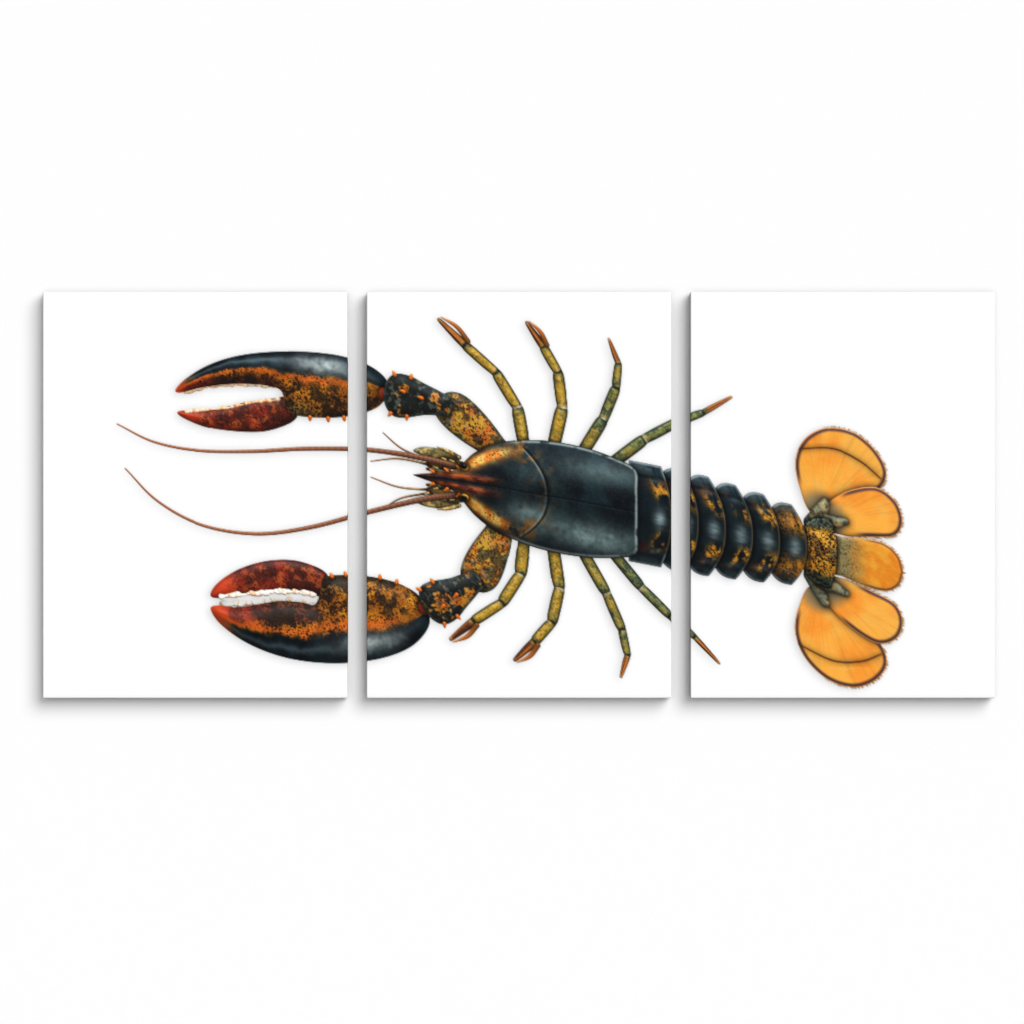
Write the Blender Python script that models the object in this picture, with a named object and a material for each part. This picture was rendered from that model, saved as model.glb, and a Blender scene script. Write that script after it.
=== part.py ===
"""A three-panel canvas print to hang on a wall: three canvases of one size, side by side.

Each panel is four mitred stretcher bars, a canvas that wraps round them and folds over their back,
a sawtooth hanger with two nails, and two felt pads that keep it off the wall.

Metres, +Z up, +X to the viewer's right. The wall is the plane y = 0 and the pictures face -Y.
The origin is on the wall, behind the middle of the centre panel.
"""

import math

import bmesh
import bpy
from mathutils import Matrix, Vector

INCH = 0.0254

# The set
PANELS = ("left", "centre", "right")
PANEL_WIDTH = 12 * INCH
PANEL_HEIGHT = 16 * INCH
PANEL_GAP = 0.75 * INCH
CLEARANCE = 0.0003

# Canvas
CANVAS_THICKNESS = 0.0005
CANVAS_EDGE_RADIUS = 0.002
CANVAS_CORNER_RADIUS = 0.0008
CANVAS_EDGE_SEGMENTS = 4
FLAP_WIDTH = 0.022
FOLD_INSET = 0.003
FOLD_REACH = 0.012
FOLD_SINK = 0.00025

# Stretcher bars
BAR_WIDTH = 0.038
BAR_DEPTH = 0.018
BEAD_WIDTH = 0.006
BAR_FALL = 0.003
BAR_EDGE_RADIUS = 0.0022
BAR_EDGE_STEPS = 4

# Felt pads
PAD_RADIUS = 0.005
PAD_HEIGHT = 0.0032
PAD_SIDES = 32
PAD_EDGE = 0.0004
PAD_FROM_SIDE = 0.050
PAD_FROM_INNER_EDGE = 0.0078

# Sawtooth hangers and their nails
HANGER_LENGTH = 0.044
HANGER_HEIGHT = 0.0085
HANGER_THICKNESS = 0.0008
HANGER_RISE = 0.0017
HANGER_TAB = 0.0075
HANGER_RAMP = 0.0025
HANGER_TEETH = 10
TOOTH_DEPTH = 0.0013
HANGER_FROM_INNER_EDGE = 0.0085
NAIL_RADIUS = 0.002
NAIL_HEIGHT = 0.0011
NAIL_SIDES = 20
NAIL_CROWN = 0.55

# Depths, from the wall forwards
BAR_BACK_Y = -(PAD_HEIGHT + CLEARANCE)
CANVAS_BACK_Y = BAR_BACK_Y + CLEARANCE + CANVAS_THICKNESS
CANVAS_FRONT_Y = BAR_BACK_Y - BAR_DEPTH - CLEARANCE - CANVAS_THICKNESS
CANVAS_DEPTH = CANVAS_BACK_Y - CANVAS_FRONT_Y

# The wooden frame inside the canvas
FRAME_WIDTH = PANEL_WIDTH - 2 * (CANVAS_THICKNESS + CLEARANCE)
FRAME_HEIGHT = PANEL_HEIGHT - 2 * (CANVAS_THICKNESS + CLEARANCE)
MITRE_SHORTENING = CLEARANCE / math.sqrt(2)

# Colour, roughness and metallic value of each material
FINISHES = {
    "printed_canvas": ((0.93, 0.93, 0.92), 0.75, 0.0),
    "pine": ((0.72, 0.53, 0.33), 0.6, 0.0),
    "zinc_steel": ((0.62, 0.62, 0.60), 0.35, 1.0),
    "felt": ((0.20, 0.20, 0.21), 0.95, 0.0),
}


def clear_scene():
    for obj in list(bpy.data.objects):
        bpy.data.objects.remove(obj)


def make_materials():
    """One Principled material for each finish."""
    made = {}
    for name, (colour, roughness, metallic) in FINISHES.items():
        material = bpy.data.materials.new(name)
        material.use_nodes = True
        shader = material.node_tree.nodes["Principled BSDF"]
        shader.inputs["Base Color"].default_value = (*colour, 1.0)
        shader.inputs["Roughness"].default_value = roughness
        shader.inputs["Metallic"].default_value = metallic
        made[name] = material
    return made


def add_object(name, bm, material, parent):
    """An object from a bmesh, carried by its panel's empty."""
    mesh = bpy.data.meshes.new(name)
    bm.to_mesh(mesh)
    bm.free()
    mesh.materials.append(material)
    obj = bpy.data.objects.new(name, mesh)
    bpy.context.scene.collection.objects.link(obj)
    obj.parent = parent
    return obj


def shade_round(obj, angle_deg):
    obj.data.shade_smooth()
    obj.data.set_sharp_from_angle(angle=math.radians(angle_deg))


def corner_arc(centre, radius, start_deg, steps):
    """Points of a quarter turn about centre, in the (y, z) plane."""
    turns = [math.radians(start_deg + 90 * i / steps) for i in range(steps + 1)]
    return [
        (centre[0] + radius * math.cos(turn), centre[1] + radius * math.sin(turn))
        for turn in turns
    ]


def bar_profile():
    """A bar's section as (y, z): the back at y = 0, the outer edge at z = 0, the bead at the front."""
    radius = BAR_EDGE_RADIUS
    back_corner = corner_arc((-radius, -radius), radius, 0, BAR_EDGE_STEPS)
    front_corner = corner_arc((-BAR_DEPTH + radius, -radius), radius, 90, BAR_EDGE_STEPS)
    bead_end = (-BAR_DEPTH, -BEAD_WIDTH)
    inner_front = (-BAR_DEPTH + BAR_FALL, -BAR_WIDTH)
    inner_back = (0.0, -BAR_WIDTH)
    return back_corner + front_corner + [bead_end, inner_front, inner_back]


def stretcher_bar(name, length, material, parent):
    """One bar along X, its ends cut at 45 degrees so that it grows shorter towards its inner edge."""
    bm = bmesh.new()
    half = length / 2 - MITRE_SHORTENING
    section = bm.faces.new([bm.verts.new((half, y, z)) for y, z in bar_profile()])
    grown = bmesh.ops.extrude_face_region(bm, geom=[section])
    far_end = [v for v in grown["geom"] if isinstance(v, bmesh.types.BMVert)]
    bmesh.ops.translate(bm, verts=far_end, vec=(-2 * half, 0, 0))
    for vert in bm.verts:
        vert.co.x -= math.copysign(vert.co.z, vert.co.x)
    bmesh.ops.recalc_face_normals(bm, faces=bm.faces)
    bar = add_object(name, bm, material, parent)
    shade_round(bar, 30)
    return bar


def stretcher_frame(panel, material, parent):
    """The four bars of a panel, set round it by quarter turns."""
    sides = (
        ("top", FRAME_WIDTH, FRAME_HEIGHT / 2),
        ("right", FRAME_HEIGHT, FRAME_WIDTH / 2),
        ("bottom", FRAME_WIDTH, FRAME_HEIGHT / 2),
        ("left", FRAME_HEIGHT, FRAME_WIDTH / 2),
    )
    for quarter, (side, length, reach) in enumerate(sides):
        turn = quarter * math.pi / 2
        bar = stretcher_bar(f"{panel}_bar_{side}", length, material, parent)
        bar.rotation_euler = (0, turn, 0)
        bar.location = (reach * math.sin(turn), BAR_BACK_Y, reach * math.cos(turn))


def fold_layer(name, side_x, side_z):
    """The doubled canvas at one back corner: a triangle whose long edge is the diagonal fold."""
    half_x = PANEL_WIDTH / 2
    half_z = PANEL_HEIGHT / 2
    outline = (
        (half_x - FOLD_INSET, half_z - FOLD_INSET),
        (half_x - FLAP_WIDTH + FOLD_INSET, half_z - FLAP_WIDTH + FOLD_INSET),
        (half_x - FLAP_WIDTH - FOLD_REACH, half_z - FLAP_WIDTH + FOLD_INSET),
        (half_x - FLAP_WIDTH - FOLD_REACH, half_z - FOLD_INSET),
    )
    bm = bmesh.new()
    base_y = CANVAS_BACK_Y - FOLD_SINK
    face = bm.faces.new([bm.verts.new((side_x * x, base_y, side_z * z)) for x, z in outline])
    grown = bmesh.ops.extrude_face_region(bm, geom=[face])
    top = [v for v in grown["geom"] if isinstance(v, bmesh.types.BMVert)]
    bmesh.ops.translate(bm, verts=top, vec=(0, CANVAS_THICKNESS, 0))
    bmesh.ops.recalc_face_normals(bm, faces=bm.faces)
    mesh = bpy.data.meshes.new(name)
    bm.to_mesh(mesh)
    bm.free()
    return bpy.data.objects.new(name, mesh)


def canvas_wrap(panel, material, parent):
    """The canvas: a front, four sides and a flap folded over the back, with doubled corners."""
    bm = bmesh.new()
    bmesh.ops.create_cube(bm, size=1)
    bmesh.ops.scale(bm, verts=bm.verts, vec=(PANEL_WIDTH, CANVAS_DEPTH, PANEL_HEIGHT))
    middle_y = (CANVAS_BACK_Y + CANVAS_FRONT_Y) / 2
    bmesh.ops.translate(bm, verts=bm.verts, vec=(0, middle_y, 0))
    back = max(bm.faces, key=lambda face: face.calc_center_median().y)
    bmesh.ops.inset_region(bm, faces=[back], thickness=FLAP_WIDTH, use_even_offset=True)
    bmesh.ops.delete(bm, geom=[back], context="FACES")
    roundness = bm.edges.layers.float.new("bevel_weight_edge")
    for edge in bm.edges:
        start, end = (vert.co for vert in edge.verts)
        if min(abs(start.x), abs(end.x)) < PANEL_WIDTH / 2 - FLAP_WIDTH / 2:
            continue
        runs_deep = abs(start.y - end.y) > CANVAS_DEPTH / 2
        edge[roundness] = CANVAS_CORNER_RADIUS / CANVAS_EDGE_RADIUS if runs_deep else 1.0
    canvas = add_object(f"{panel}_canvas", bm, material, None)

    rounding = canvas.modifiers.new("rounding", "BEVEL")
    rounding.width = CANVAS_EDGE_RADIUS
    rounding.segments = CANVAS_EDGE_SEGMENTS
    rounding.limit_method = "WEIGHT"
    cloth = canvas.modifiers.new("cloth", "SOLIDIFY")
    cloth.thickness = CANVAS_THICKNESS
    cloth.offset = -1
    cloth.use_even_offset = True

    layers = bpy.data.collections.new(f"{panel}_fold_layers")
    for side_x in (-1, 1):
        for side_z in (-1, 1):
            layers.objects.link(fold_layer(f"{panel}_fold_{side_x}_{side_z}", side_x, side_z))
    folds = canvas.modifiers.new("folds", "BOOLEAN")
    folds.operation = "UNION"
    folds.operand_type = "COLLECTION"
    folds.collection = layers
    apply_modifiers(canvas)
    for layer in list(layers.objects):
        bpy.data.objects.remove(layer)
    bpy.data.collections.remove(layers)
    canvas.parent = parent
    shade_round(canvas, 30)
    return canvas


def apply_modifiers(obj):
    """The evaluated mesh takes the place of the base mesh."""
    bpy.context.view_layer.update()
    graph = bpy.context.evaluated_depsgraph_get()
    obj.data = bpy.data.meshes.new_from_object(obj.evaluated_get(graph))
    obj.modifiers.clear()


def hanger_stations():
    """(x, bottom edge, rise) from end to end: flat tabs, ramps, and a raised span with teeth below."""
    half = HANGER_LENGTH / 2
    span = half - HANGER_TAB - HANGER_RAMP
    pitch = 2 * span / HANGER_TEETH
    bottom = -HANGER_HEIGHT / 2
    toothed = []
    for i in range(HANGER_TEETH):
        toothed.append((-span + i * pitch, bottom, HANGER_RISE))
        toothed.append((-span + (i + 0.5) * pitch, bottom + TOOTH_DEPTH, HANGER_RISE))
    toothed.append((span, bottom, HANGER_RISE))
    tab_left = [(-half, bottom, 0.0), (-half + HANGER_TAB, bottom, 0.0)]
    tab_right = [(half - HANGER_TAB, bottom, 0.0), (half, bottom, 0.0)]
    return tab_left + toothed + tab_right


def hanger_height():
    """The level of a hanger's middle, on the bare wood of the top bar."""
    return FRAME_HEIGHT / 2 - BAR_WIDTH + HANGER_FROM_INNER_EDGE


def sawtooth_hanger(panel, material, parent):
    stations = hanger_stations()
    bm = bmesh.new()
    bmesh.ops.create_grid(bm, x_segments=len(stations) - 1, y_segments=1, size=1)
    bm.verts.ensure_lookup_table()
    steps = len(stations) - 1
    for vert in bm.verts:
        x, bottom, rise = stations[round((vert.co.x + 1) / 2 * steps)]
        z = bottom if vert.co.y < 0 else HANGER_HEIGHT / 2
        vert.co = Vector((x, rise, z))
    bmesh.ops.recalc_face_normals(bm, faces=bm.faces)
    if next(iter(bm.faces)).normal.y < 0:
        bmesh.ops.reverse_faces(bm, faces=bm.faces)
    hanger = add_object(f"{panel}_hanger", bm, material, parent)
    plate = hanger.modifiers.new("plate", "SOLIDIFY")
    plate.thickness = HANGER_THICKNESS
    plate.offset = 1
    hanger.location = (0, BAR_BACK_Y + CLEARANCE, hanger_height())
    return hanger


def hanger_nails(panel, material, parent):
    """The two round nail heads that hold a hanger's tabs."""
    seat_y = BAR_BACK_Y + 2 * CLEARANCE + HANGER_THICKNESS
    from_middle = (HANGER_LENGTH - HANGER_TAB) / 2
    for number, side in enumerate((-1, 1), start=1):
        bm = bmesh.new()
        bmesh.ops.create_cone(
            bm,
            cap_ends=True,
            segments=NAIL_SIDES,
            radius1=NAIL_RADIUS,
            radius2=NAIL_RADIUS * NAIL_CROWN,
            depth=NAIL_HEIGHT,
        )
        bmesh.ops.rotate(bm, verts=bm.verts, matrix=Matrix.Rotation(-math.pi / 2, 3, "X"))
        nail = add_object(f"{panel}_nail_{number}", bm, material, parent)
        shade_round(nail, 50)
        nail.location = (side * from_middle, seat_y + NAIL_HEIGHT / 2, hanger_height())


def felt_pads(panel, material, parent):
    """Two round pads on the bottom bar, whose outer faces rest on the wall."""
    z = -FRAME_HEIGHT / 2 + BAR_WIDTH - PAD_FROM_INNER_EDGE
    x = PANEL_WIDTH / 2 - PAD_FROM_SIDE
    for number, side in enumerate((-1, 1), start=1):
        bm = bmesh.new()
        bmesh.ops.create_cone(
            bm,
            cap_ends=True,
            segments=PAD_SIDES,
            radius1=PAD_RADIUS,
            radius2=PAD_RADIUS,
            depth=PAD_HEIGHT,
        )
        bmesh.ops.rotate(bm, verts=bm.verts, matrix=Matrix.Rotation(-math.pi / 2, 3, "X"))
        rim = [e for e in bm.edges if min(v.co.y for v in e.verts) > 0]
        bmesh.ops.bevel(
            bm, geom=rim, offset=PAD_EDGE, segments=2, profile=0.5, affect="EDGES", material=-1
        )
        pad = add_object(f"{panel}_pad_{number}", bm, material, parent)
        shade_round(pad, 40)
        pad.location = (side * x, -PAD_HEIGHT / 2, z)


def build_panel(panel, middle_x, materials):
    """One whole panel, on an empty at its middle on the wall."""
    place = bpy.data.objects.new(f"{panel}_panel", None)
    bpy.context.scene.collection.objects.link(place)
    place.location = (middle_x, 0, 0)
    stretcher_frame(panel, materials["pine"], place)
    canvas_wrap(panel, materials["printed_canvas"], place)
    sawtooth_hanger(panel, materials["zinc_steel"], place)
    hanger_nails(panel, materials["zinc_steel"], place)
    felt_pads(panel, materials["felt"], place)


def main():
    clear_scene()
    materials = make_materials()
    for number, panel in enumerate(PANELS):
        build_panel(panel, (number - 1) * (PANEL_WIDTH + PANEL_GAP), materials)


main()
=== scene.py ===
"""Looks of a three-panel canvas print of a lobster: canvas, print, pine, steel and felt.

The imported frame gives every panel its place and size. The print is drawn here, in millimetres,
as one picture across the whole set, and each canvas takes the part that it covers.
"""

import math

import bmesh
import bpy
import numpy as np
from mathutils import Matrix, Vector


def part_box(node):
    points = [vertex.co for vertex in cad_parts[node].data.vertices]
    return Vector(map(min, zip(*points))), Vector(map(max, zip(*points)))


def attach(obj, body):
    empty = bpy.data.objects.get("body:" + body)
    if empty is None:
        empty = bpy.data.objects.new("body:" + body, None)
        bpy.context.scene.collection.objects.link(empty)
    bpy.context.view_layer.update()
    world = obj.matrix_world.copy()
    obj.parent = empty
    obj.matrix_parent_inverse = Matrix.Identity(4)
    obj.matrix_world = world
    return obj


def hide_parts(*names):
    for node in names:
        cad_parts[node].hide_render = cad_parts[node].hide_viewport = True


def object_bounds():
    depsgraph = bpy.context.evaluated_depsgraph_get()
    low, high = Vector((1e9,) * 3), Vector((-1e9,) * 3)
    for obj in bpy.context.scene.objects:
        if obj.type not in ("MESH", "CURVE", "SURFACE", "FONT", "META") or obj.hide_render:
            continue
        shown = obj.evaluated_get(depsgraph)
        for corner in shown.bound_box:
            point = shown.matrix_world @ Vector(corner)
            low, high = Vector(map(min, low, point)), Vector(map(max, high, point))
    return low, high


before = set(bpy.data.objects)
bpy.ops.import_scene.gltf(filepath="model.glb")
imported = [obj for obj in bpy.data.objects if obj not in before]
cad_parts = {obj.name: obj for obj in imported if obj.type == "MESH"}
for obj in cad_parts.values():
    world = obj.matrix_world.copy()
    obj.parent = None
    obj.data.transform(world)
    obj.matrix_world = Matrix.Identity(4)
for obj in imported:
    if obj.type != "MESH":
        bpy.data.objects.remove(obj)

bl_info = {
    "name": "Three-Panel Canvas Print",
    "version": (1, 0, 0),
    "blender": (4, 5, 0),
    "location": "3D View > Sidebar > Canvas Print",
    "description": "Stretched canvases with a printed lobster, their stretcher bars and fittings",
    "category": "Add Mesh",
}

CAD_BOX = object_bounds()
PANELS = ("left", "centre", "right")
BOXES = {panel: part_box(f"{panel}_canvas") for panel in PANELS}
BAR_BACK_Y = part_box("centre_bar_top")[1].y
BAR_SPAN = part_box("centre_bar_top")[1].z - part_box("centre_bar_top")[0].z
MM = 0.001


class CanvasLook(bpy.types.PropertyGroup):
    """Sizes of the stretched canvases and of what holds them."""

    cloth: bpy.props.FloatProperty(
        name="Cloth", description="Thickness of the canvas", default=0.0005, unit="LENGTH"
    )
    edge_radius: bpy.props.FloatProperty(
        name="Edge", description="Radius of the canvas round a bar", default=0.0013, unit="LENGTH"
    )
    flap: bpy.props.FloatProperty(
        name="Flap", description="Width folded over the back", default=0.022, unit="LENGTH"
    )
    hollow: bpy.props.FloatProperty(
        name="Hollow", description="How far the middle gives way", default=0.0005, unit="LENGTH"
    )
    cell: bpy.props.FloatProperty(
        name="Cell", description="Mesh cell where nothing is printed", default=0.004618, unit="LENGTH"
    )
    print_cuts: bpy.props.IntProperty(
        name="Print cuts", description="Cuts of each cell that carries ink", default=4
    )
    thread: bpy.props.FloatProperty(
        name="Thread", description="Distance from thread to thread", default=0.00062, unit="LENGTH"
    )
    paper: bpy.props.FloatVectorProperty(
        name="Coating", description="White of the primed side", subtype="COLOR", default=(0.94, 0.94, 0.94)
    )
    raw: bpy.props.FloatVectorProperty(
        name="Raw side", description="Colour of the unprimed side", subtype="COLOR",
        default=(0.60, 0.55, 0.46),
    )


class FittingLook(bpy.types.PropertyGroup):
    """Sizes and colours of staples, fasteners, wood, steel and felt."""

    staple_crown: bpy.props.FloatProperty(
        name="Staple", description="Width of a staple's crown", default=0.0095, unit="LENGTH"
    )
    staple_wire: bpy.props.FloatProperty(
        name="Wire", description="Half the thickness of its wire", default=0.00045, unit="LENGTH"
    )
    staple_spacing: bpy.props.FloatProperty(
        name="Spacing", description="Distance from staple to staple", default=0.055, unit="LENGTH"
    )
    fastener: bpy.props.FloatProperty(
        name="Fastener", description="Width of a corrugated fastener", default=0.014, unit="LENGTH"
    )
    pine_light: bpy.props.FloatVectorProperty(
        name="Pine", description="Light wood of the bars", subtype="COLOR", default=(0.66, 0.46, 0.26)
    )
    pine_dark: bpy.props.FloatVectorProperty(
        name="Late wood", description="Dark lines of the grain", subtype="COLOR",
        default=(0.42, 0.24, 0.10),
    )
    steel: bpy.props.FloatVectorProperty(
        name="Steel", description="Zinc-plated steel", subtype="COLOR", default=(0.60, 0.60, 0.58)
    )
    felt: bpy.props.FloatVectorProperty(
        name="Felt", description="Wall pads", subtype="COLOR", default=(0.055, 0.055, 0.06)
    )


class StageLook(bpy.types.PropertyGroup):
    """Camera, wall, floor and light."""

    lens: bpy.props.FloatProperty(name="Lens", description="Focal length in millimetres", default=180)
    view_width: bpy.props.FloatProperty(
        name="View", description="Width seen at the pictures", default=1.024, unit="LENGTH"
    )
    view_x: bpy.props.FloatProperty(
        name="Aim X", description="Middle of the view", default=-0.007, unit="LENGTH"
    )
    view_z: bpy.props.FloatProperty(
        name="Aim Z", description="Middle of the view", default=-0.017, unit="LENGTH"
    )
    wall: bpy.props.FloatVectorProperty(
        name="Wall", description="White of the wall and floor", subtype="COLOR", default=(0.9, 0.9, 0.9)
    )
    sky: bpy.props.FloatProperty(name="Sky", description="Even light from all round", default=0.145)
    surround: bpy.props.FloatProperty(
        name="Surround", description="White seen round the set and in its metal", default=0.78
    )
    key: bpy.props.FloatProperty(name="Key", description="Light from the upper right", default=2.4)
    fill: bpy.props.FloatProperty(name="Fill", description="Wide light from in front", default=1.05)
    back: bpy.props.FloatProperty(name="Back", description="Light on the backs", default=2.4)


# shader nodes


class Nodes:
    """Adds nodes to a tree, with their inputs given by name or number."""

    def __init__(self, tree):
        self.tree = tree

    def add(self, kind, inputs=None, **settings):
        node = self.tree.nodes.new("ShaderNode" + kind)
        for name, value in settings.items():
            setattr(node, name, value)
        for key, value in (inputs or {}).items():
            self.feed(node.inputs[key], value)
        return node

    def feed(self, socket, value):
        if isinstance(value, bpy.types.NodeSocket):
            self.tree.links.new(value, socket)
        elif socket.type == "RGBA" and len(value) == 3:
            socket.default_value = (*value, 1)
        else:
            socket.default_value = value

    def math(self, operation, first, second=0.0):
        return self.add("Math", {0: first, 1: second}, operation=operation).outputs[0]

    def mix(self, share, first, second):
        node = self.add("Mix", {0: share, 6: first, 7: second}, data_type="RGBA")
        return node.outputs[2]

    def noise(self, vector, scale, detail=3.0, rough=0.5):
        inputs = {"Vector": vector, "Scale": scale, "Detail": detail, "Roughness": rough}
        return self.add("TexNoise", inputs).outputs["Fac"]

    def step(self, value, low, high):
        inputs = {"Value": value, "From Min": low, "From Max": high}
        return self.add("MapRange", inputs, interpolation_type="SMOOTHSTEP").outputs[0]


def effect(name, inputs, outputs):
    """An empty node group with the given sockets, or None and the group if it is there."""
    if name in bpy.data.node_groups:
        return None, bpy.data.node_groups[name]
    group = bpy.data.node_groups.new(name, "ShaderNodeTree")
    for label, kind, value in inputs:
        socket = group.interface.new_socket(label, in_out="INPUT", socket_type=f"NodeSocket{kind}")
        if value is not None:
            socket.default_value = value
    for label, kind in outputs:
        group.interface.new_socket(label, in_out="OUTPUT", socket_type=f"NodeSocket{kind}")
    return Nodes(group), group


def weave_effect():
    """Plain weave: threads over and under each other, with slubs."""
    nodes, group = effect(
        "plain weave",
        (("Vector", "Vector", None), ("Pitch", "Float", 0.0006)),
        (("Height", "Float"), ("Slub", "Float")),
    )
    if nodes is None:
        return group
    source = nodes.tree.nodes.new("NodeGroupInput")
    sink = nodes.tree.nodes.new("NodeGroupOutput")
    scaled = nodes.add("VectorMath", {0: source.outputs["Vector"]}, operation="SCALE")
    nodes.feed(scaled.inputs["Scale"], nodes.math("DIVIDE", math.pi, source.outputs["Pitch"]))
    parts = nodes.add("SeparateXYZ", {0: scaled.outputs[0]})
    wave_u = nodes.math("SINE", parts.outputs["X"])
    wave_v = nodes.math("SINE", parts.outputs["Y"])
    over = nodes.math("MULTIPLY", wave_u, wave_v)
    warp = nodes.math("MULTIPLY", nodes.math("ABSOLUTE", wave_u), nodes.step(over, -0.4, 0.4))
    weft = nodes.math("MULTIPLY", nodes.math("ABSOLUTE", wave_v), nodes.step(over, 0.4, -0.4))
    slub = nodes.noise(source.outputs["Vector"], 420.0, 2.0)
    height = nodes.math("ADD", nodes.math("MAXIMUM", warp, weft), nodes.math("MULTIPLY", slub, 0.5))
    nodes.feed(sink.inputs["Height"], height)
    nodes.feed(sink.inputs["Slub"], slub)
    return group


def scratch_effect():
    """Fine wear: where a hard surface is rubbed or dulled."""
    nodes, group = effect(
        "fine wear",
        (("Vector", "Vector", None), ("Scale", "Float", 400.0)),
        (("Mask", "Float"), ("Height", "Float")),
    )
    if nodes is None:
        return group
    source = nodes.tree.nodes.new("NodeGroupInput")
    sink = nodes.tree.nodes.new("NodeGroupOutput")
    scale = source.outputs["Scale"]
    cloudy = nodes.noise(source.outputs["Vector"], scale, 4.0, 0.6)
    fine = nodes.noise(source.outputs["Vector"], nodes.math("MULTIPLY", scale, 7.0), 2.0)
    nodes.feed(sink.inputs["Mask"], nodes.step(cloudy, 0.35, 0.7))
    nodes.feed(sink.inputs["Height"], fine)
    return group


def grain_effect():
    """Pine grain along X: rings, fine fibres and a knot now and then."""
    nodes, group = effect(
        "pine grain",
        (("Vector", "Vector", None),),
        (("Late wood", "Float"), ("Fibre", "Float"), ("Knot", "Float")),
    )
    if nodes is None:
        return group
    source = nodes.tree.nodes.new("NodeGroupInput")
    sink = nodes.tree.nodes.new("NodeGroupOutput")
    drawn = nodes.add("VectorMath", {0: source.outputs[0], 1: (2.2, 60.0, 60.0)}, operation="MULTIPLY")
    sway = nodes.noise(drawn.outputs[0], 0.9, 2.0)
    parts = nodes.add("SeparateXYZ", {0: drawn.outputs[0]})
    rings = nodes.math("ADD", parts.outputs["Z"], nodes.math("MULTIPLY", parts.outputs["Y"], 0.6))
    rings = nodes.math("ADD", nodes.math("MULTIPLY", rings, 5.2), nodes.math("MULTIPLY", sway, 16.0))
    late = nodes.step(nodes.math("SINE", rings), 0.2, 1.0)
    thin = nodes.add("VectorMath", {0: source.outputs[0], 1: (60.0, 2400.0, 2400.0)}, operation="MULTIPLY")
    fibre = nodes.noise(thin.outputs[0], 1.0, 3.0, 0.6)
    squashed = nodes.add("VectorMath", {0: source.outputs[0], 1: (9.0, 22.0, 22.0)}, operation="MULTIPLY")
    cells = nodes.add("TexVoronoi", {"Vector": squashed.outputs[0], "Scale": 1.0}, feature="F1")
    nodes.feed(sink.inputs["Late wood"], late)
    nodes.feed(sink.inputs["Fibre"], fibre)
    nodes.feed(sink.inputs["Knot"], nodes.step(cells.outputs["Distance"], 0.16, 0.05))
    return group


def new_material(name, roughness, metallic=0.0):
    """A material, its nodes and its shader."""
    material = bpy.data.materials.new(name)
    material.use_nodes = True
    nodes = Nodes(material.node_tree)
    shader = material.node_tree.nodes["Principled BSDF"]
    shader.inputs["Roughness"].default_value = roughness
    shader.inputs["Metallic"].default_value = metallic
    return material, nodes, shader


def use_effect(nodes, group, inputs):
    node = nodes.add("Group", node_tree=group)
    for key, value in inputs.items():
        nodes.feed(node.inputs[key], value)
    return node.outputs


def bump_from(nodes, shader, height, distance, strength=1.0):
    node = nodes.add("Bump", {"Height": height, "Distance": distance, "Strength": strength})
    nodes.feed(shader.inputs["Normal"], node.outputs["Normal"])


def printed_material(look):
    """Primed canvas with matt ink; the colours and the ink are in the mesh's print attribute."""
    material, nodes, shader = new_material("printed canvas", 0.62)
    shader.inputs["Specular IOR Level"].default_value = 0.02
    flat = nodes.add("UVMap", uv_map="Weave").outputs["UV"]
    picture = nodes.add("Attribute", attribute_name="print")
    weave = use_effect(nodes, weave_effect(), {"Vector": flat, "Pitch": look.thread})
    fine = nodes.noise(flat, 1500.0, 2.0, 0.6)
    grain = nodes.math("MULTIPLY", nodes.math("SUBTRACT", fine, 0.5), picture.outputs["Alpha"])
    lifted = nodes.math("ADD", 1.0, nodes.math("MULTIPLY", grain, 0.55))
    inked = nodes.add("VectorMath", {0: picture.outputs["Color"]}, operation="SCALE")
    nodes.feed(inked.inputs["Scale"], lifted)
    thread_shade = nodes.math("SUBTRACT", 1.0, nodes.math("MULTIPLY", weave["Slub"], 0.03))
    cloth = nodes.add("VectorMath", {0: inked.outputs[0]}, operation="SCALE")
    nodes.feed(cloth.inputs["Scale"], thread_shade)
    nodes.feed(shader.inputs["Base Color"], cloth.outputs[0])
    rough = nodes.add("MapRange", {"Value": picture.outputs["Alpha"], "To Min": 0.72, "To Max": 0.48})
    nodes.feed(shader.inputs["Roughness"], rough.outputs[0])
    bump_from(nodes, shader, weave["Height"], 0.00006, 0.55)
    return material


def raw_material(look):
    """The unprimed back of the canvas, with cotton threads and a few dark specks."""
    material, nodes, shader = new_material("raw canvas", 0.9)
    flat = nodes.add("UVMap", uv_map="Weave").outputs["UV"]
    weave = use_effect(nodes, weave_effect(), {"Vector": flat, "Pitch": look.thread})
    specks = nodes.step(nodes.noise(flat, 900.0, 2.0), 0.70, 0.78)
    cloudy = nodes.noise(flat, 18.0, 3.0)
    shade = tuple(channel * 0.72 for channel in look.raw)
    cotton = nodes.mix(weave["Slub"], tuple(look.raw), shade)
    cotton = nodes.mix(nodes.math("MULTIPLY", cloudy, 0.35), cotton, (0.72, 0.68, 0.60))
    nodes.feed(shader.inputs["Base Color"], nodes.mix(specks, cotton, (0.25, 0.18, 0.11)))
    bump_from(nodes, shader, weave["Height"], 0.00015, 0.8)
    return material


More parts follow.
